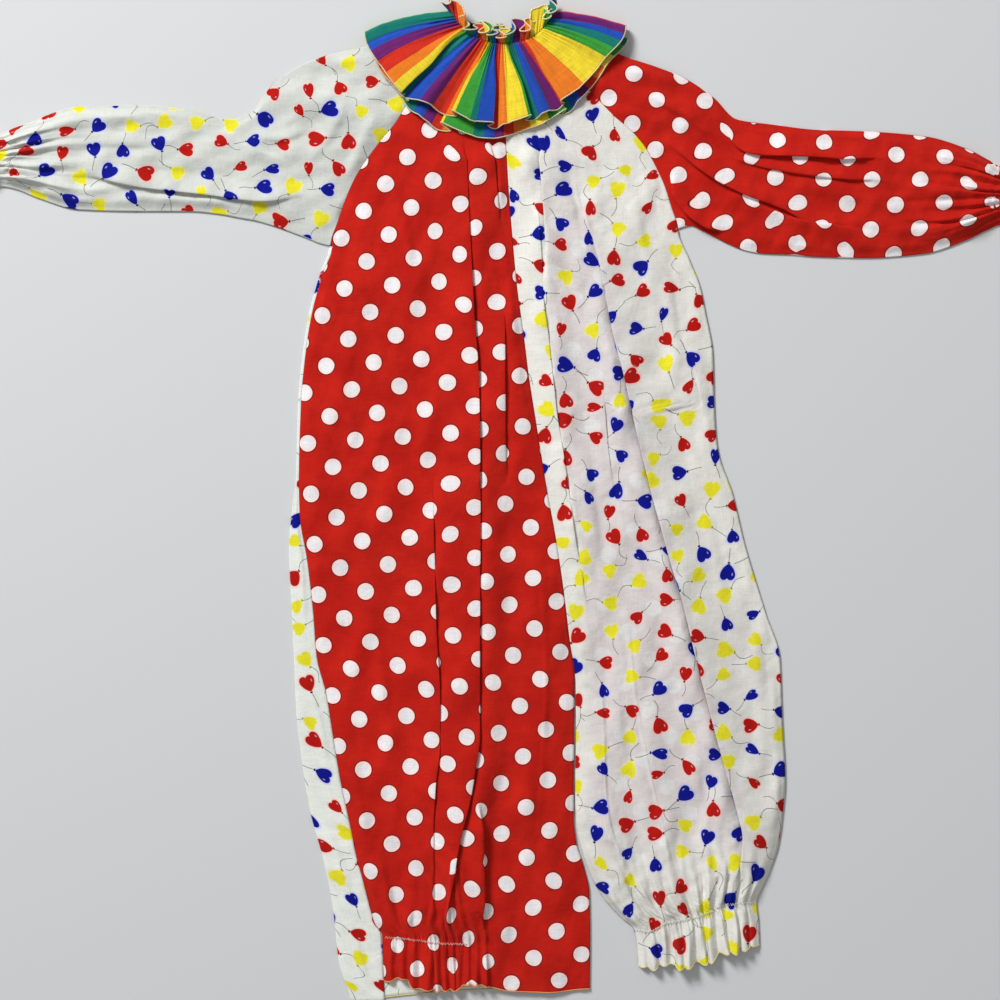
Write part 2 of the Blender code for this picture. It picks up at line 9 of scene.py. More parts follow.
import bpy
import mathutils
import numpy as np
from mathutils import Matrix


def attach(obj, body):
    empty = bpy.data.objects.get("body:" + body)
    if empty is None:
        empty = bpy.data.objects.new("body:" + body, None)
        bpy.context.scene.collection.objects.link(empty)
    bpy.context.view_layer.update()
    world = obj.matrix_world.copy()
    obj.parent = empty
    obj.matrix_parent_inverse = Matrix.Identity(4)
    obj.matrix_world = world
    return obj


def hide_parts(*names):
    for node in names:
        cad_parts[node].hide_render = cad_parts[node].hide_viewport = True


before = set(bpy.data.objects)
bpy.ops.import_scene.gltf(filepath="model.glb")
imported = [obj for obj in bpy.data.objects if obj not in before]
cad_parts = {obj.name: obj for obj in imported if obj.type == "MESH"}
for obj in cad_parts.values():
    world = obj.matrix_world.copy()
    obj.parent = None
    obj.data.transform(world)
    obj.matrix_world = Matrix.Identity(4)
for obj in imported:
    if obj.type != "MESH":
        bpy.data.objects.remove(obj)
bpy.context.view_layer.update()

# ---- cloth and levels ----
CLOTH, RUFFLE_CLOTH, HEADER_CLOTH = 0.0006, 0.0005, 0.0004  # thickness of the shells
SEAM = 0.00012  # half the space between two sewn pieces
CENTRE = np.array([0.0, 0.5880, 0.0])
FRONT_TOP = 0.0024  # upper face of the front where it lies flat
BACK_RUMPLE = 0.00012
PUFF = 0.0018  # how far a panel's middle stands above its edges
EDGE_FADE = 0.011  # folds and creases flatten out over this distance from a seam

NECK = (0.0, 1.165)
NECK_HALF = 0.056
LIFT = 0.0032  # the collar's back half lifts the cloth above it by this much
LIFT_SPARE = 0.0008  # and the front by this much more
LIFT_FULL, LIFT_NONE, FRONT_LIFT_NONE = 0.142, 0.205, 0.217  # distances from the neck at which it is whole and gone

# ---- outline tables: (height, across) ----
SIDE_FOLD_RIGHT = [  # outer edge on the wearer's right, a fold of the white back
    (0.000, -0.1785), (0.047, -0.1920), (0.106, -0.1985), (0.166, -0.2100), (0.230, -0.2270),
    (0.294, -0.2370), (0.344, -0.2425), (0.403, -0.2450), (0.470, -0.2480), (0.536, -0.2510),
    (0.579, -0.2475), (0.616, -0.2430), (0.708, -0.2400), (0.767, -0.2345), (0.811, -0.2275),
    (0.860, -0.2140), (0.892, -0.2030),
]
SIDE_SEAM_RIGHT = [  # where the back, folded over to the front, meets the front
    (0.000, -0.1380), (0.042, -0.1397), (0.080, -0.1410), (0.093, -0.1495), (0.142, -0.1630),
    (0.175, -0.1720), (0.208, -0.1785), (0.261, -0.1900), (0.315, -0.1990), (0.365, -0.2070),
    (0.407, -0.2180), (0.458, -0.2220), (0.520, -0.2290), (0.575, -0.2380), (0.616, -0.2390),
    (0.708, -0.2365), (0.767, -0.2310), (0.811, -0.2240), (0.860, -0.2105), (0.892, -0.1995),
]
SIDE_LEFT = [
    (0.060, 0.3040), (0.095, 0.3030), (0.119, 0.3005), (0.133, 0.3060), (0.155, 0.3160),
    (0.187, 0.3265), (0.218, 0.3310), (0.262, 0.3345), (0.332, 0.3310), (0.407, 0.3280),
    (0.457, 0.3120), (0.494, 0.3005), (0.543, 0.2860), (0.601, 0.2720), (0.643, 0.2570),
    (0.666, 0.2530), (0.708, 0.2505), (0.764, 0.2490), (0.815, 0.2400), (0.844, 0.2340),
    (0.877, 0.2210), (0.912, 0.2080),
]
RAGLAN_RIGHT = [
    (0.892, -0.2020), (0.920, -0.1935), (0.970, -0.1740), (1.012, -0.1455), (1.037, -0.1245),
    (1.057, -0.1120), (1.133, -0.0410),
]
RAGLAN_LEFT = [
    (0.912, 0.2080), (0.936, 0.2008), (0.962, 0.1925), (0.989, 0.1800), (1.007, 0.1700),
    (1.025, 0.1550), (1.043, 0.1340), (1.074, 0.1035), (1.133, 0.0376),
]
CENTRE_SEAM = [
    (0.380, 0.0865), (0.428, 0.0800), (0.486, 0.0730), (0.549, 0.0635), (0.601, 0.0540),
    (0.643, 0.0470), (0.687, 0.0400), (0.738, 0.0320), (0.790, 0.0255), (0.844, 0.0180),
    (0.898, 0.0130), (0.961, 0.0080), (1.015, 0.0050), (1.128, 0.0000),
]
INSEAM_RIGHT = [
    (0.000, 0.1040), (0.080, 0.1045), (0.130, 0.1035), (0.160, 0.0970), (0.187, 0.0885),
    (0.218, 0.0850), (0.319, 0.0855), (0.380, 0.0860),
]
INSEAM_LEFT = [
    (0.040, 0.1610), (0.062, 0.1600), (0.088, 0.1550), (0.099, 0.1420), (0.127, 0.1170),
    (0.158, 0.1010), (0.187, 0.0920), (0.218, 0.0870), (0.252, 0.0865), (0.319, 0.0875),
    (0.380, 0.0870),
]

# ---- rows of the body, top to bottom: (height at the side, height at the middle) ----
UNDERARM_RIGHT, UNDERARM_LEFT, CROTCH, KNEE = 0.892, 0.912, 0.380, 0.220
BODY_ROWS = [(1.133, 1.128), (1.095, 1.095), (0.320, 0.320)]
RIGHT_LEG_ROWS = [(0.066, 0.066), (0.044, 0.040)]
FRONT_HEM_RIGHT, BACK_HEM_RIGHT = (0.022, 0.015), (0.000, 0.018)
LEFT_LEG_ROWS = [
    (0.265, 0.256), (0.220, 0.202), (0.184, 0.155), (0.155, 0.125), (0.134, 0.103),
    (0.119, 0.088), (0.108, 0.076), (0.090, 0.062), (0.070, 0.046),
]
HEM_CURVE, HEM_CURVE_TOP = 2.5, 0.05  # below this height the back's rows bend, more quickly near the side fold
ROWS_ABOVE_KNEE, ROWS_BELOW_KNEE = 190, 84
FRONT_COLUMNS, BACK_COLUMNS, FOLD_TURNS, STRIP_COLUMNS = 160, 40, 7, 16

# ---- sleeves, from the raglan seam to the cuff's hem: (top across, height, bottom across, height) ----
SLEEVE_RIGHT_STATIONS = [
    (-0.110, 1.135, -0.214, 0.896), (-0.165, 1.124, -0.229, 0.902), (-0.222, 1.110, -0.250, 0.910),
    (-0.262, 1.088, -0.273, 0.918), (-0.281, 1.069, -0.291, 0.923), (-0.294, 1.050, -0.308, 0.926),
    (-0.319, 1.040, -0.335, 0.931),
    (-0.370, 1.052, -0.370, 0.934), (-0.430, 1.057, -0.428, 0.934), (-0.500, 1.055, -0.498, 0.936),
    (-0.550, 1.040, -0.548, 0.950), (-0.575, 1.030, -0.573, 0.960), (-0.590, 1.025, -0.589, 0.963),
    (-0.605, 1.030, -0.604, 0.957), (-0.625, 1.036, -0.625, 0.950),
]
SLEEVE_LEFT_STATIONS = [
    (0.100, 1.135, 0.222, 0.917), (0.144, 1.114, 0.236, 0.911), (0.180, 1.102, 0.250, 0.904),
    (0.218, 1.087, 0.268, 0.895), (0.250, 1.066, 0.288, 0.8875), (0.278, 1.040, 0.310, 0.884),
    (0.320, 1.034, 0.338, 0.883), (0.369, 1.028, 0.369, 0.8805), (0.430, 1.026, 0.430, 0.879),
    (0.500, 1.020, 0.498, 0.884), (0.550, 1.005, 0.548, 0.900), (0.575, 0.992, 0.573, 0.912),
    (0.590, 0.985, 0.589, 0.918), (0.605, 0.990, 0.604, 0.912), (0.625, 0.997, 0.625, 0.905),
]
SLEEVE_ELASTIC = 0.590  # distance across of the cuff's elastic
NECK_CORNER = (0.050, 1.147)  # where a sleeve's top fold meets the neck
SEAM_SHAPE_LENGTH = 0.12  # the raglan's curve straightens out over this far along the sleeve
UNDERARM_GAP = 0.0012  # a sleeve's lower fold ends this short of the underarm
CUFF_LENGTH = 0.11  # rows are closer together over this length before the cuff's hem
SLEEVE_COLUMNS, ARM_ROWS, CUFF_ROWS = 72, 114, 57

# ---- collar, in polar form round NECK: (degrees from straight down, elastic, long rim, short rim) ----
COLLAR_RIM = [
    (-80, 0.0560, 0.1590, 0.1630), (-65, 0.0500, 0.1580, 0.1560), (-50, 0.0450, 0.1530, 0.1500),
    (-35, 0.0410, 0.1550, 0.1370), (-20, 0.0385, 0.1505, 0.1330), (-5, 0.0375, 0.1485, 0.1340),
    (12, 0.0380, 0.1400, 0.1290), (30, 0.0410, 0.1385, 0.1290), (45, 0.0460, 0.1370, 0.1280),
    (60, 0.0510, 0.1375, 0.1310), (80, 0.0570, 0.1530, 0.1470),
]
COLLAR_HALF_ANGLE = 80
COLLAR_BOW = 0.08  # the side folds bow up by this share of their angle near the neck
COLLAR_REACH = 0.163  # and straighten out by this distance from it
BACK_DIP = 0.0095  # the back of the neck is cut this much higher than the front
BACK_RIM_SHARE = 0.96  # the back ruffles lie under the front ones

# ---- folds of the front ----
DIP, DIP_SHARE = 0.0055, 0.95  # the cloth under a fold falls into it from this far off, by this share of its rise
FLAP = 2.4  # a fold's upper side slopes away this many times further than its overhanging side
OVERHANG = 0.92  # its crest stands back from its visible edge by this share of its rise times its lean
# visible edge line as (height, across, rise), half width, and lean (+ to the wearer's left)
RED_FOLDS = [
    ([(1.040, -0.0440, 0.0015), (1.005, -0.0433, 0.0045), (0.876, -0.0374, 0.0060),
      (0.793, -0.0327, 0.0075), (0.741, -0.0291, 0.0085), (0.655, -0.0274, 0.0085),
      (0.569, -0.0268, 0.0075), (0.430, -0.0275, 0.0070), (0.314, -0.0275, 0.0075),
      (0.281, -0.0320, 0.0085), (0.241, -0.0386, 0.0085), (0.195, -0.0500, 0.0080),
      (0.150, -0.0575, 0.0065), (0.117, -0.0625, 0.0040), (0.080, -0.0640, 0.0000)], 0.012, 2.2),
    ([(0.640, -0.0850, 0.0000), (0.600, -0.0830, 0.0030), (0.545, -0.0811, 0.0055),
      (0.446, -0.0787, 0.0065), (0.356, -0.0740, 0.0070), (0.306, -0.0740, 0.0065),
      (0.256, -0.0793, 0.0060), (0.130, -0.0846, 0.0050), (0.090, -0.0846, 0.0000)], 0.011, 2.1),
    ([(0.840, 0.0020, 0.0000), (0.793, 0.0027, 0.0035), (0.720, 0.0030, 0.0045),
      (0.651, 0.0035, 0.0030), (0.590, 0.0060, 0.0000)], 0.008, 2.0),
    ([(1.060, -0.0150, 0.0010), (1.017, -0.0114, 0.0040), (0.950, -0.0060, 0.0035),
      (0.880, -0.0010, 0.0000)], 0.008, 1.8),
    ([(0.560, 0.0420, 0.0000), (0.480, 0.0450, 0.0025), (0.380, 0.0480, 0.0030),
      (0.250, 0.0430, 0.0020), (0.150, 0.0400, 0.0000)], 0.014, 0.8),
]
WHITE_FOLDS = [
    ([(1.060, 0.0340, 0.0015), (1.029, 0.0381, 0.0050), (0.992, 0.0452, 0.0060), (0.963, 0.0484, 0.0060),
      (0.929, 0.0511, 0.0055), (0.887, 0.0538, 0.0045), (0.840, 0.0558, 0.0000)], 0.010, -1.9),
    ([(0.965, 0.0340, 0.0000), (0.919, 0.0413, 0.0030), (0.879, 0.0452, 0.0045), (0.828, 0.0476, 0.0050),
      (0.785, 0.0535, 0.0055), (0.741, 0.0582, 0.0060), (0.689, 0.0641, 0.0060), (0.646, 0.0711, 0.0055),
      (0.597, 0.0782, 0.0055), (0.542, 0.0859, 0.0050), (0.493, 0.0943, 0.0035), (0.450, 0.0965, 0.0000)],
     0.010, 1.9),
    ([(0.790, 0.1130, 0.0000), (0.750, 0.1165, 0.0030), (0.713, 0.1193, 0.0040), (0.676, 0.1219, 0.0045),
      (0.648, 0.1243, 0.0040), (0.616, 0.1278, 0.0025), (0.570, 0.1310, 0.0000)], 0.009, 1.7),
    ([(0.985, 0.0860, 0.0000), (0.935, 0.0983, 0.0030), (0.876, 0.1160, 0.0055), (0.793, 0.1318, 0.0080),
      (0.734, 0.1467, 0.0095), (0.686, 0.1573, 0.0105), (0.641, 0.1679, 0.0110), (0.598, 0.1785, 0.0110),
      (0.556, 0.1899, 0.0110), (0.513, 0.2021, 0.0110), (0.474, 0.2139, 0.0110), (0.405, 0.2305, 0.0110),
      (0.332, 0.2493, 0.0105), (0.269, 0.2659, 0.0100), (0.212, 0.2806, 0.0085), (0.186, 0.2853, 0.0065),
      (0.158, 0.2836, 0.0045), (0.125, 0.2760, 0.0000)], 0.013, -1.9),
    ([(0.790, 0.2190, 0.0000), (0.758, 0.2246, 0.0030), (0.713, 0.2352, 0.0040),
      (0.690, 0.2410, 0.0000)], 0.008, -1.8),
    ([(0.480, 0.1500, 0.0000), (0.400, 0.1560, 0.0030), (0.300, 0.1720, 0.0040),
      (0.220, 0.1900, 0.0040), (0.150, 0.2050, 0.0015), (0.120, 0.2100, 0.0000)], 0.012, -0.9),
    ([(0.420, 0.1120, 0.0000), (0.340, 0.1160, 0.0030), (0.240, 0.1200, 0.0040),
      (0.170, 0.1400, 0.0030), (0.120, 0.1600, 0.0000)], 0.011, 0.9),
]

# ---- soft creases: [(across, height), ...], rise, half width, lean to the left of its direction ----
RED_CREASES = [
    ([(-0.150, 1.000), (-0.120, 0.930), (-0.105, 0.840)], 0.0022, 0.012, 0.6),
    ([(-0.205, 0.760), (-0.180, 0.690), (-0.172, 0.600)], 0.0018, 0.014, -0.5),
    ([(-0.085, 0.920), (-0.075, 0.820), (-0.078, 0.720)], 0.0016, 0.013, 0.4),
    ([(-0.150, 0.450), (-0.140, 0.360), (-0.122, 0.260)], 0.0020, 0.013, 0.5),
    ([(-0.185, 0.330), (-0.165, 0.230), (-0.148, 0.130)], 0.0022, 0.010, -0.6),
    ([(0.020, 0.330), (0.030, 0.220), (0.020, 0.110)], 0.0018, 0.016, 0.4),
    ([(0.085, 0.300), (0.060, 0.240), (0.050, 0.150)], 0.0014, 0.012, 0.4),
    ([(-0.031, 0.250), (-0.033, 0.200), (-0.032, 0.140), (-0.029, 0.080)], 0.0070, 0.010, 1.7),
    ([(-0.060, 0.200), (-0.066, 0.130), (-0.070, 0.088)], 0.0030, 0.006, -0.8),
    ([(-0.112, 0.160), (-0.110, 0.120), (-0.108, 0.086)], 0.0030, 0.007, 0.8),
]
WHITE_CREASES = [
    ([(0.060, 1.010), (0.085, 0.900), (0.095, 0.780)], 0.0022, 0.012, 0.5),
    ([(0.130, 1.000), (0.160, 0.930), (0.180, 0.840)], 0.0020, 0.012, -0.5),
    ([(0.190, 0.880), (0.200, 0.790), (0.205, 0.720)], 0.0020, 0.011, 0.6),
    ([(0.090, 0.700), (0.100, 0.600), (0.115, 0.500)], 0.0022, 0.013, 0.5),
    ([(0.140, 0.640), (0.155, 0.560), (0.175, 0.470)], 0.0020, 0.012, 0.4),
    ([(0.230, 0.600), (0.255, 0.500), (0.270, 0.400)], 0.0022, 0.013, -0.5),
    ([(0.130, 0.420), (0.135, 0.330), (0.150, 0.240)], 0.0022, 0.012, 0.5),
    ([(0.210, 0.400), (0.225, 0.300), (0.238, 0.200)], 0.0024, 0.011, 0.5),
    ([(0.300, 0.420), (0.306, 0.320), (0.300, 0.230)], 0.0020, 0.012, -0.4),
]
STRIP_CREASES = [
    ([(-0.245, 0.600), (-0.236, 0.500), (-0.232, 0.420)], 0.0012, 0.006, 0.5),
    ([(-0.240, 0.400), (-0.215, 0.330), (-0.205, 0.260)], 0.0018, 0.008, 0.5),
    ([(-0.222, 0.230), (-0.195, 0.180), (-0.175, 0.100)], 0.0018, 0.008, -0.5),
    ([(-0.205, 0.120), (-0.175, 0.080), (-0.160, 0.020)], 0.0020, 0.007, 0.6),
]
SLEEVE_RIGHT_CREASES = [
    ([(-0.520, 0.985), (-0.420, 0.972), (-0.338, 0.963), (-0.268, 0.954), (-0.207, 0.961)], 0.0062, 0.012, -1.9),
    ([(-0.330, 1.036), (-0.290, 1.000), (-0.245, 0.985)], 0.0030, 0.010, 0.8),
    ([(-0.300, 1.030), (-0.262, 1.020), (-0.225, 1.035)], 0.0026, 0.010, -0.8),
    ([(-0.360, 1.020), (-0.430, 1.015), (-0.500, 1.020)], 0.0030, 0.012, 0.7),
    ([(-0.180, 1.080), (-0.200, 1.030), (-0.235, 0.985)], 0.0022, 0.012, 0.6),
    ([(-0.140, 1.060), (-0.165, 1.010), (-0.185, 0.960)], 0.0020, 0.010, -0.5),
    ([(-0.460, 0.950), (-0.380, 0.945), (-0.300, 0.938)], 0.0024, 0.008, 0.6),
    ([(-0.540, 1.030), (-0.470, 1.040), (-0.400, 1.042)], 0.0026, 0.010, 0.6),
]
SLEEVE_LEFT_CREASES = [
    ([(0.250, 1.062), (0.272, 1.030), (0.296, 1.012), (0.370, 1.009), (0.470, 0.998)], 0.0068, 0.011, -1.9),
    ([(0.180, 1.030), (0.205, 1.012), (0.253, 0.979), (0.289, 0.9605), (0.3355, 0.943), (0.367, 0.927),
      (0.440, 0.915)], 0.0052, 0.010, -1.7),
    ([(0.250, 1.004), (0.302, 0.9936), (0.367, 0.982), (0.470, 0.972)], 0.0048, 0.010, -1.6),
    ([(0.258, 0.957), (0.314, 0.9275), (0.367, 0.912), (0.440, 0.905)], 0.0042, 0.009, 1.5),
    ([(0.202, 0.985), (0.209, 0.962), (0.222, 0.941), (0.240, 0.926), (0.275, 0.910)], 0.0074, 0.010, -1.6),
    ([(0.170, 1.072), (0.215, 1.050), (0.262, 1.012)], 0.0030, 0.012, -0.9),
    ([(0.150, 1.100), (0.200, 1.090), (0.240, 1.075)], 0.0026, 0.012, 0.8),
    ([(0.330, 1.022), (0.400, 1.024), (0.470, 1.022)], 0.0028, 0.009, 0.8),
    ([(0.470, 0.960), (0.520, 0.955), (0.560, 0.955)], 0.0032, 0.009, 0.8),
    ([(0.460, 0.925), (0.520, 0.925), (0.565, 0.935)], 0.0032, 0.009, -0.8),
]

# ---- where the white front is one layer, so that the red back shows through it: (height, across) ----
THIN_FROM = [(0.200, 0.0800), (0.350, 0.0900), (0.493, 0.0943), (0.646, 0.0711), (0.785, 0.0535), (0.887, 0.0520),
             (1.029, 0.0381)]
THIN_TO = [(0.186, 0.2853), (0.332, 0.2493), (0.513, 0.2021), (0.686, 0.1573), (0.876, 0.1160), (0.985, 0.0860)]
THIN_PAST = 0.35  # share of it that is left past the second line

# ---- elastic: heights along it (share across, height), rises by distance above it, and crests (share across) ----
ANKLE_RIGHT = [(0.00, 0.0770), (0.45, 0.0700), (1.00, 0.0690)]
ANKLE_LEFT = [(0.00, 0.0860), (0.06, 0.0840), (0.20, 0.0940), (0.42, 0.0990), (0.62, 0.1060), (0.80, 0.1165),
              (1.00, 0.1185)]
GATHER_RISE = [(-0.060, 0.0115), (-0.030, 0.0095), (-0.010, 0.0062), (0.000, 0.0036), (0.010, 0.0062),
               (0.030, 0.0078), (0.060, 0.0060), (0.110, 0.0036), (0.160, 0.0016), (0.220, 0.0000)]
SWELL_RISE = [(-0.020, 0.0000), (0.000, 0.0003), (0.020, 0.0030), (0.060, 0.0058), (0.120, 0.0044),
              (0.200, 0.0020), (0.300, 0.0000)]
PUCKER_RISE = [(-0.024, 0.0000), (-0.008, 0.0016), (0.000, 0.0024), (0.008, 0.0020), (0.030, 0.0000)]
PUCKER = 0.0046  # width of a pucker
FINE_RISE = [(-0.030, 0.0010), (0.000, 0.0012), (0.025, 0.0024), (0.070, 0.0018), (0.130, 0.0000)]
FINE_GATHERS = 23
GATHERS_RIGHT = [0.030, 0.095, 0.150, 0.215, 0.262, 0.300, 0.335, 0.368, 0.410, 0.448, 0.490]
GATHERS_LEFT = [0.030, 0.125, 0.225, 0.335, 0.425, 0.530, 0.620, 0.700, 0.790, 0.880, 0.970]
GATHERS_CUFF = [0.05, 0.17, 0.28, 0.40, 0.50, 0.61, 0.72, 0.83, 0.94]
# how far the hem lies above its straight line: (share across, height)
HEM_RIGHT = [(0.00, 0.004), (0.10, 0.009), (0.16, -0.002), (0.24, -0.004), (0.35, -0.003), (0.40, 0.004),
             (0.47, 0.004), (0.53, 0.000), (0.62, -0.004), (0.80, -0.004), (1.00, 0.001)]
HEM_LEFT = [(0.00, 0.002), (0.10, -0.006), (0.20, -0.002), (0.32, -0.008), (0.45, -0.008), (0.60, -0.006),
            (0.72, 0.001), (0.85, 0.000), (1.00, 0.002)]
# gathered is the share across that the elastic takes in, fullness the gathers' size, scallop how far they draw
# the hem, and anchor the column at which the print stays in place
RED_FRONT = {
    "folds": RED_FOLDS, "creases": RED_CREASES, "ankle": ANKLE_RIGHT, "crests": GATHERS_RIGHT, "hem": HEM_RIGHT,
    "gathered": 0.49, "fullness": 0.8, "scallop": 0.0016, "anchor": 34, "seed": 21,
}
WHITE_FRONT = {
    "folds": WHITE_FOLDS, "creases": WHITE_CREASES, "ankle": ANKLE_LEFT, "crests": GATHERS_LEFT, "hem": HEM_LEFT,
    "gathered": 1.0, "fullness": 1.0, "scallop": 0.0065, "anchor": 60, "seed": 34,
}

# ---- ruffles ----
STRIPE, STRIPES_ROUND = 0.015, 63  # width of one stripe in the cloth, and how many go round
RUFFLE_ROWS, FLAP_COLUMNS, BACK_COUNT = 34, 34, 56
RUFFLE_FACING = [(0.0, 60), (0.3, 80), (1.0, 84)]  # which way its side folds face: (row, degrees)
# degrees, which side lies on top (-1 the one before, 1 the one after), and overlap share
SHORT_FLAPS = [(-80.0, 0, 0.0), (-56.0, -1, 0.42), (-22.5, 1, 0.36), (-7.0, -1, 0.36), (11.5, -1, 0.36),
               (33.5, 1, 0.22), (57.0, 0, 0.0), (80.0, 0, 0.0)]
LONG_FLAPS = [(-80.0, 0, 0.0), (-52.0, -1, 0.30), (-24.0, 1, 0.36), (6.0, 0, 0.0), (31.0, -1, 0.30), (56.0, 0, 0.0),
              (80.0, 0, 0.0)]
# stripes across the front: (degrees, stripe)
SHORT_STRIPES = [(-80, 4.45), (-76.8, 5.0), (-73, 6.0), (-67.3, 7.0), (-63.8, 8.0), (-62.5, 9.0), (-59.9, 9.95),
                 (-56, 10.9), (-22.5, 15.8), (-7, 20.9), (11.5, 24.9), (33.5, 28.3), (36.5, 29.0), (46, 30.0),
                 (64, 31.0), (69.5, 32.0), (74.5, 33.0), (78, 34.0), (80, 34.6)]
LONG_STRIPES = [(-80, 6.2), (-52, 10.4), (-24, 15.8), (6, 22.0), (31, 25.0), (56, 29.0), (80, 32.4)]
SHORT_CREASES = [(-76.6, 0.0022, 1.3), (-66.0, 0.0010, 2.6), (40.5, 0.0012, 1.6), (54.5, -0.0010, 4.0),
                 (66.0, 0.0012, 1.4)]  # (degrees, depth, half width in degrees)
SHORT_RISE = [(0.0, 0.0008), (0.12, 0.0024), (0.45, 0.0056), (1.0, 0.0088)]  # of its waves: (row, rise)
LONG_RISE = [(0.0, 0.0003), (0.75, 0.0012), (0.90, 0.0022), (1.0, 0.0042)]
RUFFLE_STEP = 0.0030  # a flap's rim rises this much at its fold, and drops as much where the next one covers it
# rim is the column of COLLAR_RIM, lift the level above the front, back_height the level of the back half, and tuck
# how many degrees the side folds lie inside those of the short ruffle
LONG_RUFFLE = {
    "flaps": LONG_FLAPS, "stripe_table": LONG_STRIPES, "rim": 2, "lift": 0.0036, "rise": LONG_RISE,
    "back_height": 0.0014, "tuck": 4.0, "creases": [], "seed": 91,
}
SHORT_RUFFLE = {
    "flaps": SHORT_FLAPS, "stripe_table": SHORT_STRIPES, "rim": 3, "lift": 0.0072, "rise": SHORT_RISE,
    "back_height": 0.0002, "tuck": 0.0, "creases": SHORT_CREASES, "seed": 95,
}

# ---- frill above the neck elastic ----
HEADER_ROWS, HEADER_SPREAD = 14, 0.005
HEADER_FACING = [(0.0, 60), (0.3, 35), (1.0, 20)]
HEADER_HEIGHT = [(-80, 0.027), (-68, 0.030), (-60, 0.026), (-53, 0.019), (-40, 0.023), (-25, 0.022), (0, 0.024),
                 (22, 0.025), (36, 0.025), (45, 0.036), (56, 0.037), (64, 0.026), (70, 0.022), (80, 0.022)]
HEADER_STRIPES = [(-80, 6.9), (-69.5, 7.96), (-68.5, 8.05), (-58, 8.95), (-50, 11.0), (-38, 13.4), (-22, 17.0),
                  (-7, 20.6), (8, 24.2), (22, 27.0), (34, 28.9), (42, 30.05), (62, 30.95), (72, 32.0), (80, 33.0)]
HEADER_TIPS = [(-69, 13), (53, 12)]  # lobes that lie open instead of curling: (degrees, half width)
# curl is how far the rim curls over, bow how much its height varies, swing how far it sways, and swell the middle
# and range of its rise
HEADER_FRONT = {
    "ends": (-80, 80), "columns": 520, "waves": 10.4, "height": HEADER_HEIGHT, "tips": HEADER_TIPS, "curl": 1.0,
    "bow": 0.36, "swing": 0.0050, "swell": (0.0046, 0.0050),
}
HEADER_BACK = {
    "ends": (80, -80), "columns": 420, "waves": 14.4, "height": [(-80, 0.021), (80, 0.021)], "tips": [], "curl": 0.8,
    "bow": 0.08, "swing": 0.0034, "swell": (0.00378, 0.0036),
}
HEADER_LEVEL, HEADER_BACK_LEVEL = 0.0072, 0.0018  # above the front, and above the floor behind

# ---- cloth in the small ----
RUMPLE_WAVES, RUMPLE_SUM = 20, 4.2
COLUMN_CROWDING, CREST_SPREAD = 2.6, 1.6  # how much closer columns are at a crest, and over how many half widths
PRESS, PRESS_FROM, PRESS_OVER = 0.75, 0.990, 0.022  # share of the folds that the collar presses flat, and where
GATHER_FADE = 0.09  # share across over which gathers end
HEM_REACH = 0.035  # the hem's shape dies away over this height
PRINT_LOW = 0.16  # below this height the print's stretch stays as it is there
THIN_FADE, THIN_PAST_FADE, THIN_EDGE_FADE = 0.006, 0.008, 0.030
CREASE_END = 0.3  # a crease rises over this share of its length at each end
SOFT_RUMPLE, FINE_RUMPLE, SLEEVE_RUMPLE = 0.0020, 0.0005, 0.0018
ZIGZAG_HALF, ZIGZAG_PITCH, STITCH = 0.0013, 0.0036, 0.00038
SHORTEST_STEP = 1e-6  # points of an edge closer than this are one
NEARLY_UP = np.array([0.05, 0.05, 1.0])  # so that no part of an edge runs along it

# ---- prints and thread ----
YARN, YARN_DEPTH, CRUMPLE_DEPTH = 0.0011, 0.00010, 0.0014
DOT_SPACING, DOT_PITCH, DOT_RADIUS, DOT_DRIFT = 0.0283, 0.0596, 0.0097, 0.0014
DOT_WHITE, DOT_RIM, DOT_OUTLINE = (0.80, 0.80, 0.82, 1), (0.96, 0.71, 0.68, 1), (0.085, 0.003, 0.004, 1)
REDS = (0.465, 0.0085, 0.0035, 1), (0.540, 0.0125, 0.0052, 1)
BALLOONS = [(0.002, 0.005, 0.235, 1), (0.430, 0.006, 0.003, 1), (0.760, 0.700, 0.022, 1)]  # blue, red, yellow
GLOWS = [(0.42, 0.46, 0.90, 1), (0.95, 0.42, 0.37, 1), (0.80, 0.77, 0.30, 1)]  # what bleeds round each of them
STARTS = [0.0, 0.31, 0.65]  # shares of chance at which each colour begins
MOTIF_CELL, MOTIF, MOTIF_JITTER = 0.0685, 0.0088, 0.012  # one balloon's cell, its half width, and how far it strays
MOTIF_PLACES = [(0.0, 0.0), (0.5, 0.25), (0.0, 0.5), (0.5, 0.75)]  # shifts of the four layers of cells
STRING, SHINE = (0.045, 0.060, 0.045, 1), (0.8, 0.8, 0.95, 1)
DOUBLED = (0.750, 0.745, 0.688, 1)  # white cloth with more white cloth behind it
BEHIND_DOT = (0.725, 0.725, 0.71, 1)  # and with a dot of the red cloth behind it
RAINBOW = [(0.60, 0.026, 0.010, 1), (0.76, 0.185, 0.014, 1), (0.80, 0.62, 0.030, 1), (0.040, 0.300, 0.035, 1),
           (0.004, 0.160, 0.130, 1), (0.012, 0.065, 0.400, 1), (0.130, 0.012, 0.130, 1)]
STRIPE_WANDER = 0.0012
PLY, PLY_DEPTH = 0.0009, 0.00015

# ---- floor, lights and camera ----
FLOOR_LEVEL, FLOOR_HALF = -0.0004, 4
LIGHTS = [("key", (-2.5, 3.4, 3.3), 1.6, 305), ("fill", (1.8, 0.2, 2.4), 2.2, 4), ("foot", (0.2, -2.4, 2.4), 2.0, 9)]
CAMERA, VIEW_WIDTH, SENSOR = (-0.002, 0.0044, 2.6), 1.18, 36


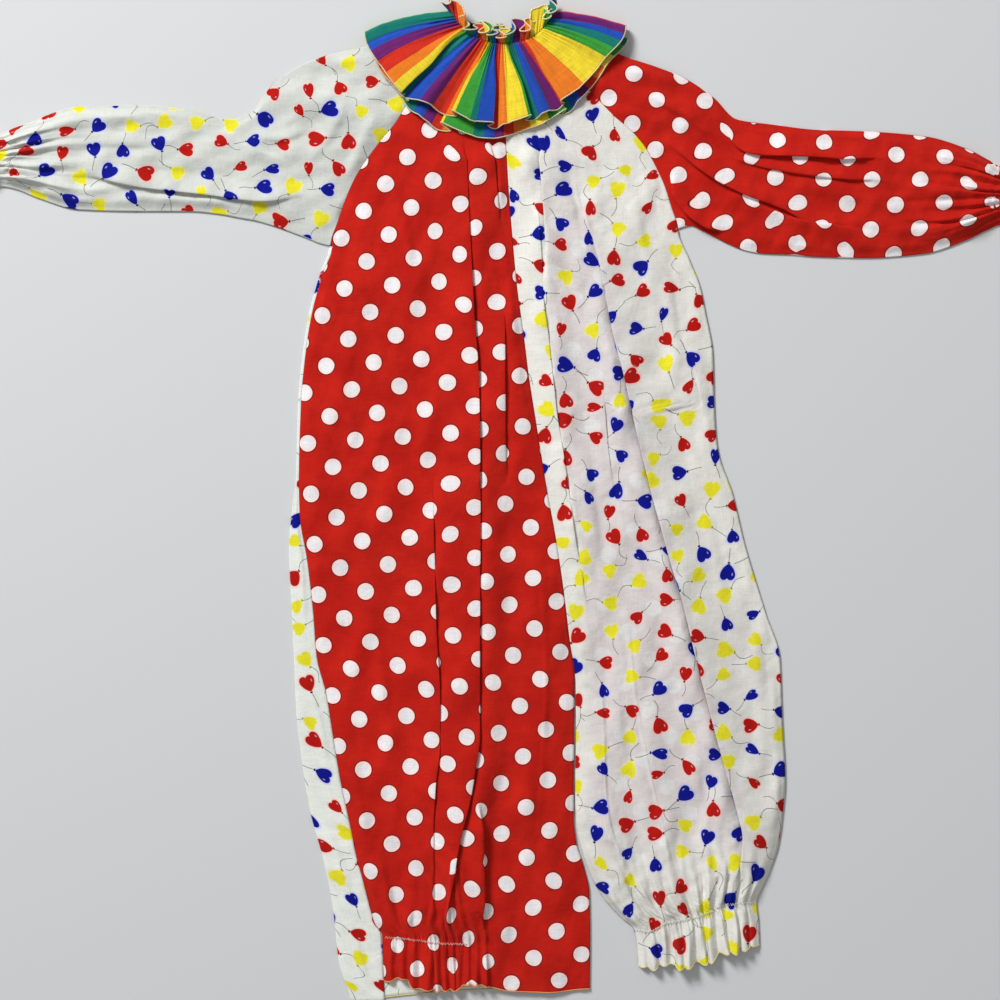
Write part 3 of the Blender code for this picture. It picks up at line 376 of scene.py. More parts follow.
def through(table, column=1):
    """A smooth function through a table's rows, with no overshoot and flat past the ends."""
    rows = sorted(table)
    at = np.array([row[0] for row in rows], float)
    value = np.array([row[column] for row in rows], float)
    steps = np.diff(value) / np.diff(at)
    slopes = np.zeros(len(at))
    same_way = steps[:-1] * steps[1:] > 0
    slopes[1:-1][same_way] = 2 / (1 / steps[:-1][same_way] + 1 / steps[1:][same_way])

    def value_at(place):
        place = np.clip(np.asarray(place, float), at[0], at[-1])
        i = np.clip(np.searchsorted(at, place, side="right") - 1, 0, len(at) - 2)
        width = at[i + 1] - at[i]
        t = (place - at[i]) / width
        bend = t * (1 - t) ** 2 * slopes[i] - t * t * (1 - t) * slopes[i + 1]
        return value[i] + (value[i + 1] - value[i]) * t * t * (3 - 2 * t) + width * bend

    return value_at


def ease(t):
    """From 0 to 1 as t does, level at both ends."""
    t = np.clip(t, 0.0, 1.0)
    return t * t * (3 - 2 * t)


def bump(distance, half):
    """A round crest: 1 at its middle, 0 from half its width on."""
    return np.cos(np.pi / 2 * np.minimum(np.abs(distance) / half, 1.0)) ** 2


def between(start, end, share):
    """Rows of values that run from start to end, at shares of the way."""
    return start[:, None] + (end - start)[:, None] * share


def two_steps(start, change, end, first, second):
    """Values from start to end, in other steps past change."""
    return np.concatenate([np.linspace(start, change, first), np.linspace(change, end, second)[1:]])


def near_neck(x, y, reach_none):
    """1 where the collar's back half lies underneath, 0 from reach_none off the neck."""
    distance = np.hypot(np.maximum(np.abs(x) - NECK_HALF, 0.0), y - NECK[1])
    return ease((reach_none - distance) / (reach_none - LIFT_FULL))


def back_level(x, y):
    return LIFT * near_neck(x, y, LIFT_NONE)


def front_level(x, y):
    return FRONT_TOP + (LIFT + LIFT_SPARE) * near_neck(x, y, FRONT_LIFT_NONE)


def rumple(x, y, seed, size, tilt=0.0, spread=0.45):
    """The unevenness of laid cloth, about -1 to 1, in long soft waves that run along +Y turned by tilt."""
    random = np.random.default_rng(seed)
    total = np.zeros(np.broadcast(x, y).shape)
    for _ in range(RUMPLE_WAVES):
        turn = random.normal(0, spread) + tilt
        k = 2 * np.pi / (size * random.uniform(0.6, 2.0))
        total += np.sin(k * (np.cos(turn) * x + np.sin(turn) * y) + random.uniform(0, 7)) * random.uniform(0.4, 1)
    return total / RUMPLE_SUM


def crease_field(x, y, creases):
    """Rise and sideways shift that soft creases give to points in plan."""
    rise, shift_x, shift_y = (np.zeros(x.shape) for _ in range(3))
    for points, height, half, lean in creases:
        place = np.linspace(0, len(points) - 1, 4 * len(points))
        line = np.stack([through(list(enumerate(part)))(place) for part in zip(*points)], 1)
        steps = np.diff(line, axis=0)
        lengths = np.hypot(*steps.T)
        best = np.full(x.shape, np.inf)
        along, normal_x, normal_y = (np.zeros(x.shape) for _ in range(3))
        before = 0.0
        for (ax, ay), (dx, dy), length in zip(line, steps, lengths):
            t = np.clip(((x - ax) * dx + (y - ay) * dy) / length**2, 0, 1)
            distance = np.hypot(x - ax - t * dx, y - ay - t * dy)
            nearer = distance < best
            best = np.where(nearer, distance, best)
            along = np.where(nearer, before + t * length, along)
            normal_x = np.where(nearer, -dy / length, normal_x)
            normal_y = np.where(nearer, dx / length, normal_y)
            before += length
        share = along / before
        here = height * bump(best, half) * ease(share / CREASE_END) * ease((1 - share) / CREASE_END)
        rise += here
        shift_x += lean * here * normal_x
        shift_y += lean * here * normal_y
    return rise, shift_x, shift_y


def run_length(path):
    """Length along a path up to each of its points."""
    return np.concatenate([[0], np.cumsum(np.linalg.norm(np.diff(path, axis=0), axis=1))])


def arc_length(points, axis):
    """Running length along an axis of a grid of points, starting from 0."""
    steps = np.linalg.norm(np.diff(points, axis=axis), axis=2)
    start = np.zeros_like(np.take(steps, [0], axis=axis))
    return np.concatenate([start, np.cumsum(steps, axis=axis)], axis=axis)


def unfold(points, plan, anchor):
    """Flat cloth coordinates: where each point would lie if its row were pulled flat from the anchor column."""
    spare = arc_length(points, 1) - arc_length(plan, 1)
    spare = spare - spare[:, [anchor]]
    way = plan[:, [-1]] - plan[:, [0]]
    way = way / np.linalg.norm(way, axis=2, keepdims=True)
    return plan + spare[:, :, None] * way


def smooth(rows, reach):
    """Each column averaged over its nearest rows."""
    padded = np.pad(rows, ((reach, reach), (0, 0)), mode="edge")
    total = np.cumsum(np.concatenate([np.zeros((1, rows.shape[1])), padded]), axis=0)
    return (total[2 * reach + 1 :] - total[: -2 * reach - 1]) / (2 * reach + 1)


def gathers(share, above, crests, seed, steep=1.0):
    """Rise, 0 to 1, and sideways part of gathers from an elastic, each with its own height, width and reach."""
    random = np.random.default_rng(seed)
    rise, sway = (np.zeros(np.broadcast(share, above).shape) for _ in range(2))
    for crest, gap in zip(crests, np.gradient(crests)):
        tall, width = random.uniform(0.6, 1.0), gap * random.uniform(0.52, 0.78) / steep
        reach, lean = random.uniform(0.035, 0.20), random.uniform(-0.8, 0.8)
        bend, slope = random.uniform(-0.25, 0.25), random.uniform(-3.0, 3.0)
        at = crest + gap * (slope * above + bend * np.sin(above * 60 + crest * 40))
        here = tall * bump(share - at, width) * ease(1.15 - above / reach)
        higher = here > rise
        rise = np.where(higher, here, rise)
        sway = np.where(higher, lean * here, sway)
    return rise, sway


def elastic(share, above, width, crests, seed):
    """Height and sideways shift that an elastic gives to cloth: gathers, broad swells, fine gathers and puckers.

    The last of the three results is how high the gathers are, from 0 to 1.
    """
    rise, sway = gathers(share, above, crests, seed)
    swell, _ = gathers(share, np.minimum(above, 0.0), crests[1::3], seed + 1, 0.9)
    wobble = 0.22 * np.sin(share * 61 + seed) + 0.12 * np.sin(share * 143 + above * 90)
    pucker = 0.5 + 0.5 * np.sin(2 * np.pi * (share * width / PUCKER + wobble))
    fine, _ = gathers(share, above, np.linspace(0.02, 0.98, FINE_GATHERS), seed + 2)
    height = through(GATHER_RISE)(above) * rise + through(SWELL_RISE)(above) * (0.35 + 0.65 * swell)
    height += through(FINE_RISE)(above) * fine + through(PUCKER_RISE)(above) * pucker
    return height, 0.5 * through(GATHER_RISE)(above) * sway, rise


def half_round(front_edge, back_edge, out, count):
    """Points of the half round that joins two edges of cloth, row by row. out is which way it faces in plan."""
    turns = np.linspace(0, np.pi, count + 2)[1:-1]
    high, low = front_edge[:, 2], back_edge[:, 2]
    reach, middle = (high - low) / 2, (high + low) / 2
    blend = (1 - np.cos(turns)) / 2
    flat = front_edge[:, None, :2] * (1 - blend)[None, :, None] + back_edge[:, None, :2] * blend[None, :, None]
    flat = flat + out[:, None] * (reach[:, None] * np.sin(turns))[:, :, None]
    tall = middle[:, None] + reach[:, None] * np.cos(turns)
    return np.concatenate([flat, tall[:, :, None]], 2)


def close_ring(front, back, last_out, first_out, count):
    """Columns all round a flattened tube: its front, the fold at its last column, its back and the other fold."""
    last = half_round(front[:, -1], back[:, 0], last_out, count)
    first = half_round(front[:, 0], back[:, -1], first_out, count)[:, ::-1]
    return np.concatenate([front, last, back, first], 1)


# ---- meshes ----
def add_mesh(name, points, faces, material, uv=None):
    mesh = bpy.data.meshes.new(name)
    mesh.from_pydata(points, [], faces)
    if uv is not None:
        mesh.uv_layers.new(name="cloth").data.foreach_set("uv", np.array(uv, np.float32).reshape(-1))
        mesh.update()
        mesh.shade_smooth()
    mesh.materials.append(material)
    made = bpy.data.objects.new(name, mesh)
    bpy.context.scene.collection.objects.link(made)
    return made


def cloth(name, points, uv, material, closed=False, outside_up=True, thickness=CLOTH, lengths=None):
    """A shell from rows of points, with its flat coordinates. lengths gives each row's last column if they differ."""
    rows, across = points.shape[:2]
    columns = np.arange(across if closed else across - 1)
    r, c = np.meshgrid(np.arange(rows - 1), columns, indexing="ij")
    if lengths is not None:
        keep = c < np.minimum(lengths[r], lengths[r + 1])
        r, c = r[keep], c[keep]
    r, c = r.ravel(), c.ravel()
    after = (c + 1) % across
    corners = np.stack([r * across + c, (r + 1) * across + c, (r + 1) * across + after, r * across + after], 1)
    corner_uv = np.stack([uv[r, c], uv[r + 1, c], uv[r + 1, c + 1], uv[r, c + 1]], 1)
    if not outside_up:
        corners, corner_uv = corners[:, ::-1], corner_uv[:, ::-1]
    used, corners = np.unique(corners, return_inverse=True)
    placed = (points.reshape(-1, 3) - CENTRE)[used]
    piece = add_mesh(name, placed.tolist(), corners.reshape(-1, 4).tolist(), material, corner_uv)
    wall = piece.modifiers.new("Cloth", "SOLIDIFY")
    wall.thickness = thickness
    wall.offset = -1.0
    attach(piece, "root")
    return piece


def tube(name, path, radius, material, closed=False, sides=6, along=None):
    """Thread or a serged edge along a path in table coordinates. along gives its flat lengths if not its own."""
    path = np.asarray(path, float) - CENTRE
    path[:, 2] = np.maximum(path[:, 2], radius)
    length = run_length(path)
    keep = np.concatenate([[True], np.diff(length) > SHORTEST_STEP])
    length = np.append(length, length[-1] + 0.001) if along is None else along
    length = np.append(length[: len(path)][keep], length[-1])
    path = path[keep]
    ahead = np.roll(path, -1, 0) - np.roll(path, 1, 0) if closed else np.gradient(path, axis=0)
    ahead /= np.maximum(np.linalg.norm(ahead, axis=1, keepdims=True), 1e-9)
    side = np.cross(ahead, NEARLY_UP)
    side /= np.maximum(np.linalg.norm(side, axis=1, keepdims=True), 1e-9)
    over = np.cross(side, ahead)
    turns = np.linspace(0, 2 * np.pi, sides, endpoint=False)[None, :, None]
    ring = path[:, None] + radius * (np.cos(turns) * side[:, None] + np.sin(turns) * over[:, None])
    count = len(path)
    faces, uv = [], []
    for i in range(count if closed else count - 1):
        j = (i + 1) % count
        for k in range(sides):
            m = (k + 1) % sides
            faces.append((i * sides + k, i * sides + m, j * sides + m, j * sides + k))
            low, high = k / sides, (k + 1) / sides
            uv += [(length[i], low), (length[i], high), (length[i + 1], high), (length[i + 1], low)]
    if not closed:
        faces += [tuple(range(sides))[::-1], tuple(range((count - 1) * sides, count * sides))]
        uv += [(0, 0)] * sides + [(length[-1], 0)] * sides
    piece = add_mesh(name, ring.reshape(-1, 3).tolist(), faces, material, uv)
    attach(piece, "root")
    return piece


# ---- materials ----
class Value:
    """A node's output. + - * and / make a math node of it, or a vector math node where it is a vector."""

    def __init__(self, nodes, socket, is_vector=False):
        self.nodes, self.socket, self.is_vector = nodes, socket, is_vector

    def combined(self, operation, a, b):
        return (self.nodes.vector if self.is_vector else self.nodes.math)(operation, a, b)

    def __add__(self, other):
        return self.combined("ADD", self, other)

    def __radd__(self, other):
        return self.combined("ADD", other, self)

    def __sub__(self, other):
        return self.combined("SUBTRACT", self, other)

    def __rsub__(self, other):
        return self.combined("SUBTRACT", other, self)

    def __mul__(self, other):
        return self.combined("MULTIPLY", self, other)

    def __truediv__(self, other):
        return self.combined("DIVIDE", self, other)

    def __rtruediv__(self, other):
        return self.combined("DIVIDE", other, self)


class Nodes:
    """Short calls for building one node tree."""

    def __init__(self, tree):
        self.tree = tree

    def put(self, socket, value):
        """Link or set one input."""
        if isinstance(value, Value):
            self.tree.links.new(value.socket, socket)
        else:
            socket.default_value = value

    def node(self, kind, settings=None, **inputs):
        """A node, with inputs given by name, or by number as i0, i1 and so on."""
        node = self.tree.nodes.new(kind)
        for key, value in (settings or {}).items():
            setattr(node, key, value)
        for key, value in inputs.items():
            self.put(node.inputs[int(key[1:]) if key[1:].isdigit() else key], value)
        return node

    def value(self, kind, settings=None, output=0, is_vector=False, **inputs):
        return Value(self, self.node(kind, settings, **inputs).outputs[output], is_vector)

    def math(self, operation, a, b=0.0, c=0.0):
        return self.value("ShaderNodeMath", {"operation": operation}, i0=a, i1=b, i2=c)

    def vector(self, operation, a, b=(0, 0, 0)):
        return self.value("ShaderNodeVectorMath", {"operation": operation}, is_vector=True, i0=a, i1=b)

    def turn(self, vector, angle):
        settings = {"rotation_type": "Z_AXIS"}
        return self.value("ShaderNodeVectorRotate", settings, is_vector=True, Vector=vector, Angle=angle)

    def step(self, value, low, high, to_low=0.0, to_high=1.0):
        settings = {"interpolation_type": "SMOOTHSTEP"}
        return self.value("ShaderNodeMapRange", settings, i0=value, i1=low, i2=high, i3=to_low, i4=to_high)

    def mix(self, factor, a, b, blend="MIX"):
        return self.value("ShaderNodeMix", {"data_type": "RGBA", "blend_type": blend}, 2, i0=factor, i6=a, i7=b)

    def noise(self, vector, scale, detail=2.0, rough=0.5):
        return self.value("ShaderNodeTexNoise", Vector=vector, Scale=scale, Detail=detail, Roughness=rough)

    def bumped(self, height, strength):
        return self.value("ShaderNodeBump", Strength=strength, Distance=1.0, Height=height)

    def split(self, vector):
        return [Value(self, part) for part in self.node("ShaderNodeSeparateXYZ", i0=vector).outputs]

    def join(self, x, y, z=0.0):
        return self.value("ShaderNodeCombineXYZ", is_vector=True, i0=x, i1=y, i2=z)

    def cloth_coordinates(self):
        return self.value("ShaderNodeUVMap", {"uv_map": "cloth"}, is_vector=True)

    def finish(self, shader, inputs):
        for name, value in inputs.items():
            self.put(shader.inputs[name], value)


def new_material(name):
    made = bpy.data.materials.new(name)
    made.use_nodes = True
    return made, Nodes(made.node_tree), made.node_tree.nodes["Principled BSDF"]


def weave_finish(n, shader, uv, colour, slub, sheen):
    """Colour with uneven yarns both ways, and a bump from the weave and small rumples."""
    along = n.noise(uv * (1 / YARN, 0.06 / YARN, 0), 1.0, 1.0)
    across = n.noise(uv * (0.06 / YARN, 1 / YARN, 0), 1.0, 1.0)
    yarns = along + across
    broad = n.step(n.noise(uv, 9.0, 3.0), 0.3, 0.7, 0.95, 1.03)
    tone = n.step(yarns, 0.75, 1.25, 1 - slub, 1 + slub * 0.6) * broad
    height = yarns * YARN_DEPTH + n.noise(uv, 70.0, 3.0, 0.55) * CRUMPLE_DEPTH
    n.finish(shader, {
        "Base Color": n.vector("MULTIPLY", colour, n.join(tone, tone, tone)), "Normal": n.bumped(height, 0.8),
        "Roughness": 0.85, "Sheen Weight": sheen, "Sheen Roughness": 0.5, "Specular IOR Level": 0.12,
    })


def dots(n, uv, offset, tilt):
    """Distance from the nearest dot's middle in a half-drop layout."""
    drift = n.value("ShaderNodeTexNoise", None, 1, True, Vector=uv, Scale=60.0)
    x, y, _ = n.split(n.turn(uv + (*offset, 0), tilt) + drift * (DOT_DRIFT, DOT_DRIFT, 0))
    found = []
    for shift in (0.0, 1.0):
        dx = n.math("PINGPONG", x + shift * DOT_SPACING, DOT_SPACING)
        dy = n.math("PINGPONG", y + shift * DOT_PITCH / 2, DOT_PITCH / 2)
        found.append(n.math("SQRT", dx * dx + dy * dy))
    return n.math("MINIMUM", *found)


def polka_material(name, offset, tilt):
    """Red cloth with white dots, each with a dark outline and a pale pink rim."""
    made, n, shader = new_material(name)
    uv = n.cloth_coordinates()
    away = dots(n, uv, offset, tilt)
    outline = n.step(away, DOT_RADIUS - 0.0002, DOT_RADIUS + 0.0002)
    outline = outline * n.step(away, DOT_RADIUS + 0.0016, DOT_RADIUS + 0.0009)
    inside = n.step(away, DOT_RADIUS + 0.0003, DOT_RADIUS - 0.0003)
    pale = n.mix(n.step(away, 0.0045, DOT_RADIUS - 0.0012), DOT_WHITE, DOT_RIM)
    red = n.mix(n.step(n.noise(uv, 22.0, 2.0), 0.35, 0.65), *REDS)
    colour = n.mix(inside, n.mix(outline * 0.92, red, DOT_OUTLINE), pale)
    weave_finish(n, shader, uv, colour, 0.07, 0.05)
    return made


def steps_of(n, value, stops):
    """The colour of the step that a value from 0 to 1 falls in. stops are (start, colour)."""
    ramp = n.node("ShaderNodeValToRGB", Fac=value)
    ramp.color_ramp.interpolation = "CONSTANT"
    ramp.color_ramp.elements[0].color = stops[0][1]
    ramp.color_ramp.elements[1].position, ramp.color_ramp.elements[1].color = stops[1]
    for start, colour in stops[2:]:
        ramp.color_ramp.elements.new(start).color = colour
    return Value(n, ramp.outputs[0])


def oval(x, y, middle, half):
    """How far a point lies from an oval's middle, with 1 at its edge, squared."""
    across = (x - middle[0]) / half[0]
    down = (y - middle[1]) / half[1]
    return across * across + down * down


def balloon_layer(n, uv, shift, seed):
    """One heart balloon in each cell of a grid, as (share, colour) of its string, glow, heart and knot.

    Each is turned and moved by chance, and drawn in units of its own half width.
    """
    place = uv * (1 / MOTIF_CELL, 1 / MOTIF_CELL, 0) + (*shift, 0)
    cell = n.vector("FLOOR", place)
    local = (place - cell - (0.5, 0.5, 0)) * (MOTIF_CELL, MOTIF_CELL, 0)
    settings = {"noise_dimensions": "3D"}
    first, second = (n.node("ShaderNodeTexWhiteNoise", settings, Vector=cell + (0, 0, seed + k)).outputs
                     for k in (0.5, 7.5))
    r0, r1 = Value(n, first[0]), Value(n, second[0])
    pick, size, lean = n.split(Value(n, second[1]))
    jitter = (Value(n, first[1], True) - (0.5, 0.5, 0)) * (MOTIF_JITTER, MOTIF_JITTER, 0)
    turned = n.turn(local - jitter, r0 * (2 * math.pi))
    is_yellow = n.math("GREATER_THAN", pick, STARTS[2])
    scale = 1.0 / ((0.82 + size * 0.28) * MOTIF)
    x, y, _ = n.split(n.value("ShaderNodeVectorMath", {"operation": "SCALE"}, i0=turned, Scale=scale))
    # the heart: two lobes over a point, some seen half from the side, with blots in the yellow ink
    y = y - 0.25
    away = x * n.step(lean, 0.68, 0.98, 1.0, 1.45)
    ax = n.math("ABSOLUTE", away)
    lobes = y * 1.12 - n.math("POWER", ax, n.step(y, -0.25, 0.15, 0.95, 0.5)) * 0.62
    soft = ax * ax + lobes * lobes + (n.noise(uv, 240.0, 2.0) - 0.5) * (is_yellow * 0.9)
    spread = is_yellow * 0.22
    heart = n.step(soft, 1.06 + spread, 0.92 - spread)
    # the string: a thin wave that hangs from the point
    below = -0.95 - y
    sway = n.math("SINE", below * (0.7 + r1)) * ((lean - 0.5) * 1.6)
    string = n.step(n.math("ABSOLUTE", x - sway), 0.062, 0.026)
    past = below - (1.8 + r1 * 0.7)
    string = string * (n.step(below, 0.0, 0.05) * n.step(past, 0.0, -0.08))
    # its colours, with a shine on one lobe
    shine = n.step(oval(away, y, (-0.60, 0.42), (0.085, 0.20)), 1.2, 0.5) * heart
    fill = n.mix(shine * (0.38 - is_yellow * 0.30), steps_of(n, pick, list(zip(STARTS, BALLOONS))), SHINE)
    knot = n.step(oval(x, y, (0.0, -0.98), (0.20, 0.11)), 1.2, 0.8)
    return {
        "string": (string * 0.85, STRING),
        "glow": (n.step(soft, 1.85, 1.00) * 0.55, steps_of(n, pick, list(zip(STARTS, GLOWS)))),
        "heart": (heart, fill),
        "knot": (knot, n.mix(0.6, fill, (0.01, 0.01, 0.02, 1))),
    }


def balloon_material(name, offset, tilt, ground, show_through=False):
    """White cloth with balloons. With show_through the red back's dots show where the cloth is one layer."""
    made, n, shader = new_material(name)
    flat = n.cloth_coordinates()
    uv = n.turn(flat + (*offset, 0), tilt)
    colour = ground
    if show_through:
        behind = n.value("ShaderNodeTexCoord", output="Object", is_vector=True)
        spot = n.step(dots(n, behind, (0.013, 0.021), 0.06), DOT_RADIUS + 0.0010, DOT_RADIUS - 0.0010)
        thin = n.value("ShaderNodeAttribute", {"attribute_name": "thin"}, "Fac")
        colour = n.mix(thin, DOUBLED, n.mix(spot * 0.8, ground, BEHIND_DOT))
    layers = [balloon_layer(n, uv, place, 3.0 + 8 * k) for k, place in enumerate(MOTIF_PLACES)]
    for parts in (("string",), ("glow", "heart", "knot")):
        for layer in layers:
            for part in parts:
                colour = n.mix(layer[part][0], colour, layer[part][1])
    weave_finish(n, shader, flat, colour, 0.05, 0.03)
    return made


def rainbow_colour(n, along):
    """Colour of the stripe at a flat distance along the cloth."""
    count = len(RAINBOW)
    share = n.math("FRACT", along / (count * STRIPE))
    return steps_of(n, share, [(k / count, colour) for k, colour in enumerate(RAINBOW)])


def rainbow_material(name):
    made, n, shader = new_material(name)
    uv = n.cloth_coordinates()
    x, _, _ = n.split(uv)
    wander = (n.noise(uv, 45.0, 2.0) - 0.5) * STRIPE_WANDER
    weave_finish(n, shader, uv, rainbow_colour(n, x + wander), 0.12, 0.15)
    return made


def thread_material(name, colours, over_stripes=0.0):
    """Wrapped thread: ridges round it, painted shade in the grooves between them, and colours that change along it or
    take on some of the stripes under it.
    """
    made, n, shader = new_material(name)
    x, y, _ = n.split(n.cloth_coordinates())
    turn = n.math("SINE", (x / PLY + y) * (2 * math.pi))
    colour = n.mix(n.step(n.noise(n.join(x * 28.0, 0.0), 1.0, 1.0), 0.42, 0.58), *colours)
    if over_stripes:
        colour = n.mix(over_stripes, colour, n.mix(0.35, rainbow_colour(n, x), (1, 0.95, 0.8, 1)))
    # painted shade: the grooves between the ridges are darkened by a brown multiply
    colour = n.mix(n.step(turn, -0.2, -1.0), colour, (0.60, 0.54, 0.40, 1), "MULTIPLY")
    normal = n.bumped(turn * PLY_DEPTH, 0.7)
    n.finish(shader, {"Base Color": colour, "Normal": normal, "Roughness": 0.6, "Sheen Weight": 0.2})
    return made


red_front = polka_material("red_polka_front", (0.1365, -0.9652), -0.07)
red_sleeve = polka_material("red_polka_sleeve", (0.008, 0.004), 0.02)
red_back = polka_material("red_polka_back", (0.0, 0.0), 0.0)
white_front = balloon_material("white_balloon_front", (0.0, 0.0), 0.05, (0.675, 0.624, 0.611, 1), True)
# painted shade: the white sleeve's ground is darker than the same white cloth on the back and where doubled on the
# front
white_sleeve = balloon_material("white_balloon_sleeve", (0.31, 0.17), 0.4, (0.598, 0.616, 0.575, 1))
white_back = balloon_material("white_balloon_back", (0.12, 0.40), 0.0, (0.78, 0.80, 0.75, 1))
rainbow = rainbow_material("rainbow_stripe")
edge_rainbow = thread_material("serged_rainbow", ((0.84, 0.84, 0.40, 1), (0.90, 0.74, 0.50, 1)), 0.42)
edge_orange = thread_material("serged_orange", ((0.80, 0.28, 0.06, 1), (0.78, 0.36, 0.12, 1)))
edge_yellow = thread_material("serged_yellow", ((0.80, 0.70, 0.22, 1), (0.82, 0.74, 0.40, 1)))
thread_pink = thread_material("stitch_pink", ((0.92, 0.36, 0.32, 1), (0.95, 0.60, 0.56, 1)))
thread_white = thread_material("stitch_white", ((0.88, 0.87, 0.84, 1), (0.90, 0.90, 0.88, 1)))


# ---- fronts ----
def edges(heights, above, below, split, offset):
    """Distances across of a panel's edge, from one table above the split and another below it."""
    return np.where(heights > split, through(above)(heights), through(below)(heights)) + offset


def leg_rows(leg):
    """Heights of a panel's rows at its side and at its middle, closer together below the knee."""
    sides, middles = np.array(BODY_ROWS + leg)[::-1].T
    heights = two_steps(sides[-1], KNEE, sides[0], ROWS_ABOVE_KNEE, ROWS_BELOW_KNEE)
    return heights, np.interp(heights, sides, middles)


def spread_row(left, right, crests):
    """Distances across of a row's columns, closer together at each crest, which is (across, half width, weight)."""
    dense = np.linspace(left, right, 400)
    density = np.ones_like(dense)
    for at, half, weight in crests:
        density += COLUMN_CROWDING * weight * bump(dense - at, CREST_SPREAD * half)
    total = np.concatenate([[0.0], np.cumsum((density[1:] + density[:-1]) / 2)])
    return np.interp(np.linspace(0, total[-1], FRONT_COLUMNS + 1), total, dense)


def front_columns(heights, left_x, right_x, lines, gathered):
    """Distances across of all columns, row by row."""
    rows = []
    for height, left, right in zip(heights, left_x, right_x):
        crests = []
        for edge_at, rise_at, half, lean in lines:
            edge, rise = float(edge_at(height)), float(rise_at(height))
            weight = float(ease(rise / 0.004))
            crests += [(edge - lean * rise * OVERHANG, half, weight), (edge + np.sign(lean) * DIP, DIP, weight)]
        half = (right - left) * gathered / 2
        crests.append((left + half, 0.7 * half, 0.5 * float(ease((KNEE - height) / 0.1))))
        rows.append(spread_row(left, right, crests))
    return np.array(rows)


def fold_relief(x, tall, lines):
    """Rise and sideways shift of folds that overhang one side, where the cloth falls in under them."""
    rise, shift = np.zeros_like(x), np.zeros_like(x)
    for edge_at, rise_at, half, lean in lines:
        edge, height, way = edge_at(tall), rise_at(tall), np.sign(lean)
        off = (x - (edge - lean * height * OVERHANG)) * way
        here = height * bump(off, np.where(off > 0, half, FLAP * half))
        past = (x - edge) * way / DIP + 0.35
        rise += here + DIP_SHARE * height * (1 - np.exp(-np.maximum(past, 0))) * (1 - ease(past / 5 - 0.4))
        shift += lean * here
    return rise, shift


def body_front(middle, left, right, folds, creases, ankle, crests, hem, gathered, fullness, scallop, anchor, seed):
    """Points of a front panel and their flat coordinates. left and right are (x, y) of its edges, row by row."""
    lines = [(through(line), through(line, 2), half, lean) for line, half, lean in folds]
    (left_x, left_y), (right_x, right_y) = left, right
    x = front_columns(middle, left_x, right_x, lines, gathered)
    width = (right_x - left_x)[:, None]
    share = (x - left_x[:, None]) / width
    y = between(left_y, right_y, share)
    edge = ease(np.minimum(x - left_x[:, None], right_x[:, None] - x) / EDGE_FADE)
    tall = middle[:, None]
    pressed = edge * (1 - PRESS * ease((tall - PRESS_FROM) / PRESS_OVER))
    rise, shift = fold_relief(x, tall, lines)
    extra, shift_x, shift_y = crease_field(x, y, creases)
    soft = 0.7 + rumple(x, y, seed + 2, 0.045)
    soft = (soft + np.sqrt(soft**2 + 0.06)) / 2  # it never sinks into the back
    rise += extra + SOFT_RUMPLE * soft + FINE_RUMPLE * rumple(x, y, seed + 3, 0.018, 0, 0.9)
    gather = 1 - ease((share - gathered) / GATHER_FADE)
    tight, sway, wave = elastic(share, y - through(ankle)(share), width, crests, seed + 5)
    z = rise * pressed + fullness * tight * gather * edge
    shift = shift * pressed + fullness * sway * gather * edge
    down = ease(1 - (y - y[-1:]) / HEM_REACH)
    y = y + (through(hem)(share) - scallop * wave * gather) * down + shift_y * edge
    z += front_level(x, y) + PUFF * np.sin(np.pi * share)
    points = np.stack([x + shift + shift_x * edge, y, z], 2)
    # the print follows the folds along a row, but its whole length changes slowly from row to row
    flat = unfold(points, np.stack([x, y - shift_y * edge], 2), 0)
    spare = flat[:, :, 0] - x
    total = spare[:, -1]
    placed = smooth(spare / total[:, None], 4)
    kept = smooth(np.interp(np.maximum(middle, PRINT_LOW), middle[::-1], total[::-1])[:, None], 22)
    flat[:, :, 0] = x + kept * (placed - placed[:, [anchor]])
    return points, flat


def thin_share(points):
    """How far the cloth behind each point of the white front is the red back alone."""
    x, y = points[:, :, 0], points[:, :, 1]
    thin = ease((x - through(THIN_FROM)(y)) / THIN_FADE)
    thin = thin * (1 - (1 - THIN_PAST) * ease((x - through(THIN_TO)(y)) / THIN_PAST_FADE))
    thin = thin * ease(np.minimum(x - x[:, :1], x[:, -1:] - x) / THIN_EDGE_FADE)
    return thin * ease((y - 0.110) / 0.120) * (1 - 0.5 * ease((y - 0.900) / 0.100))


side, middle = leg_rows([*RIGHT_LEG_ROWS, FRONT_HEM_RIGHT])
left = (edges(side, RAGLAN_RIGHT, SIDE_SEAM_RIGHT, UNDERARM_RIGHT, SEAM), side)
right = (edges(middle, CENTRE_SEAM, INSEAM_RIGHT, CROTCH, -SEAM), middle)
red_points, uv = body_front((side + middle) / 2, left, right, **RED_FRONT)
front_right = cloth("front_right_cloth", red_points, uv, red_front)
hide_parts("front_right")

side, middle = leg_rows(LEFT_LEG_ROWS)
left = (edges(middle, CENTRE_SEAM, INSEAM_LEFT, CROTCH, SEAM), middle)
right = (edges(side, RAGLAN_LEFT, SIDE_LEFT, UNDERARM_LEFT, -SEAM), side)
white_points, uv = body_front((side + middle) / 2, left, right, **WHITE_FRONT)
front_left = cloth("front_left_cloth", white_points, uv, white_front)
thin = front_left.data.attributes.new("thin", "FLOAT", "POINT")
thin.data.foreach_set("value", thin_share(white_points).ravel().astype(np.float32))
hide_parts("front_left")


# ---- backs, with a row for every second one of the fronts ----
BACK_SHARES = np.linspace(0, 1, BACK_COLUMNS + 1)


def laid_back(x, y, seed):
    return np.stack([x, y, back_level(x, y) + BACK_RUMPLE * (1 + rumple(x, y, seed, 0.06))], 2)


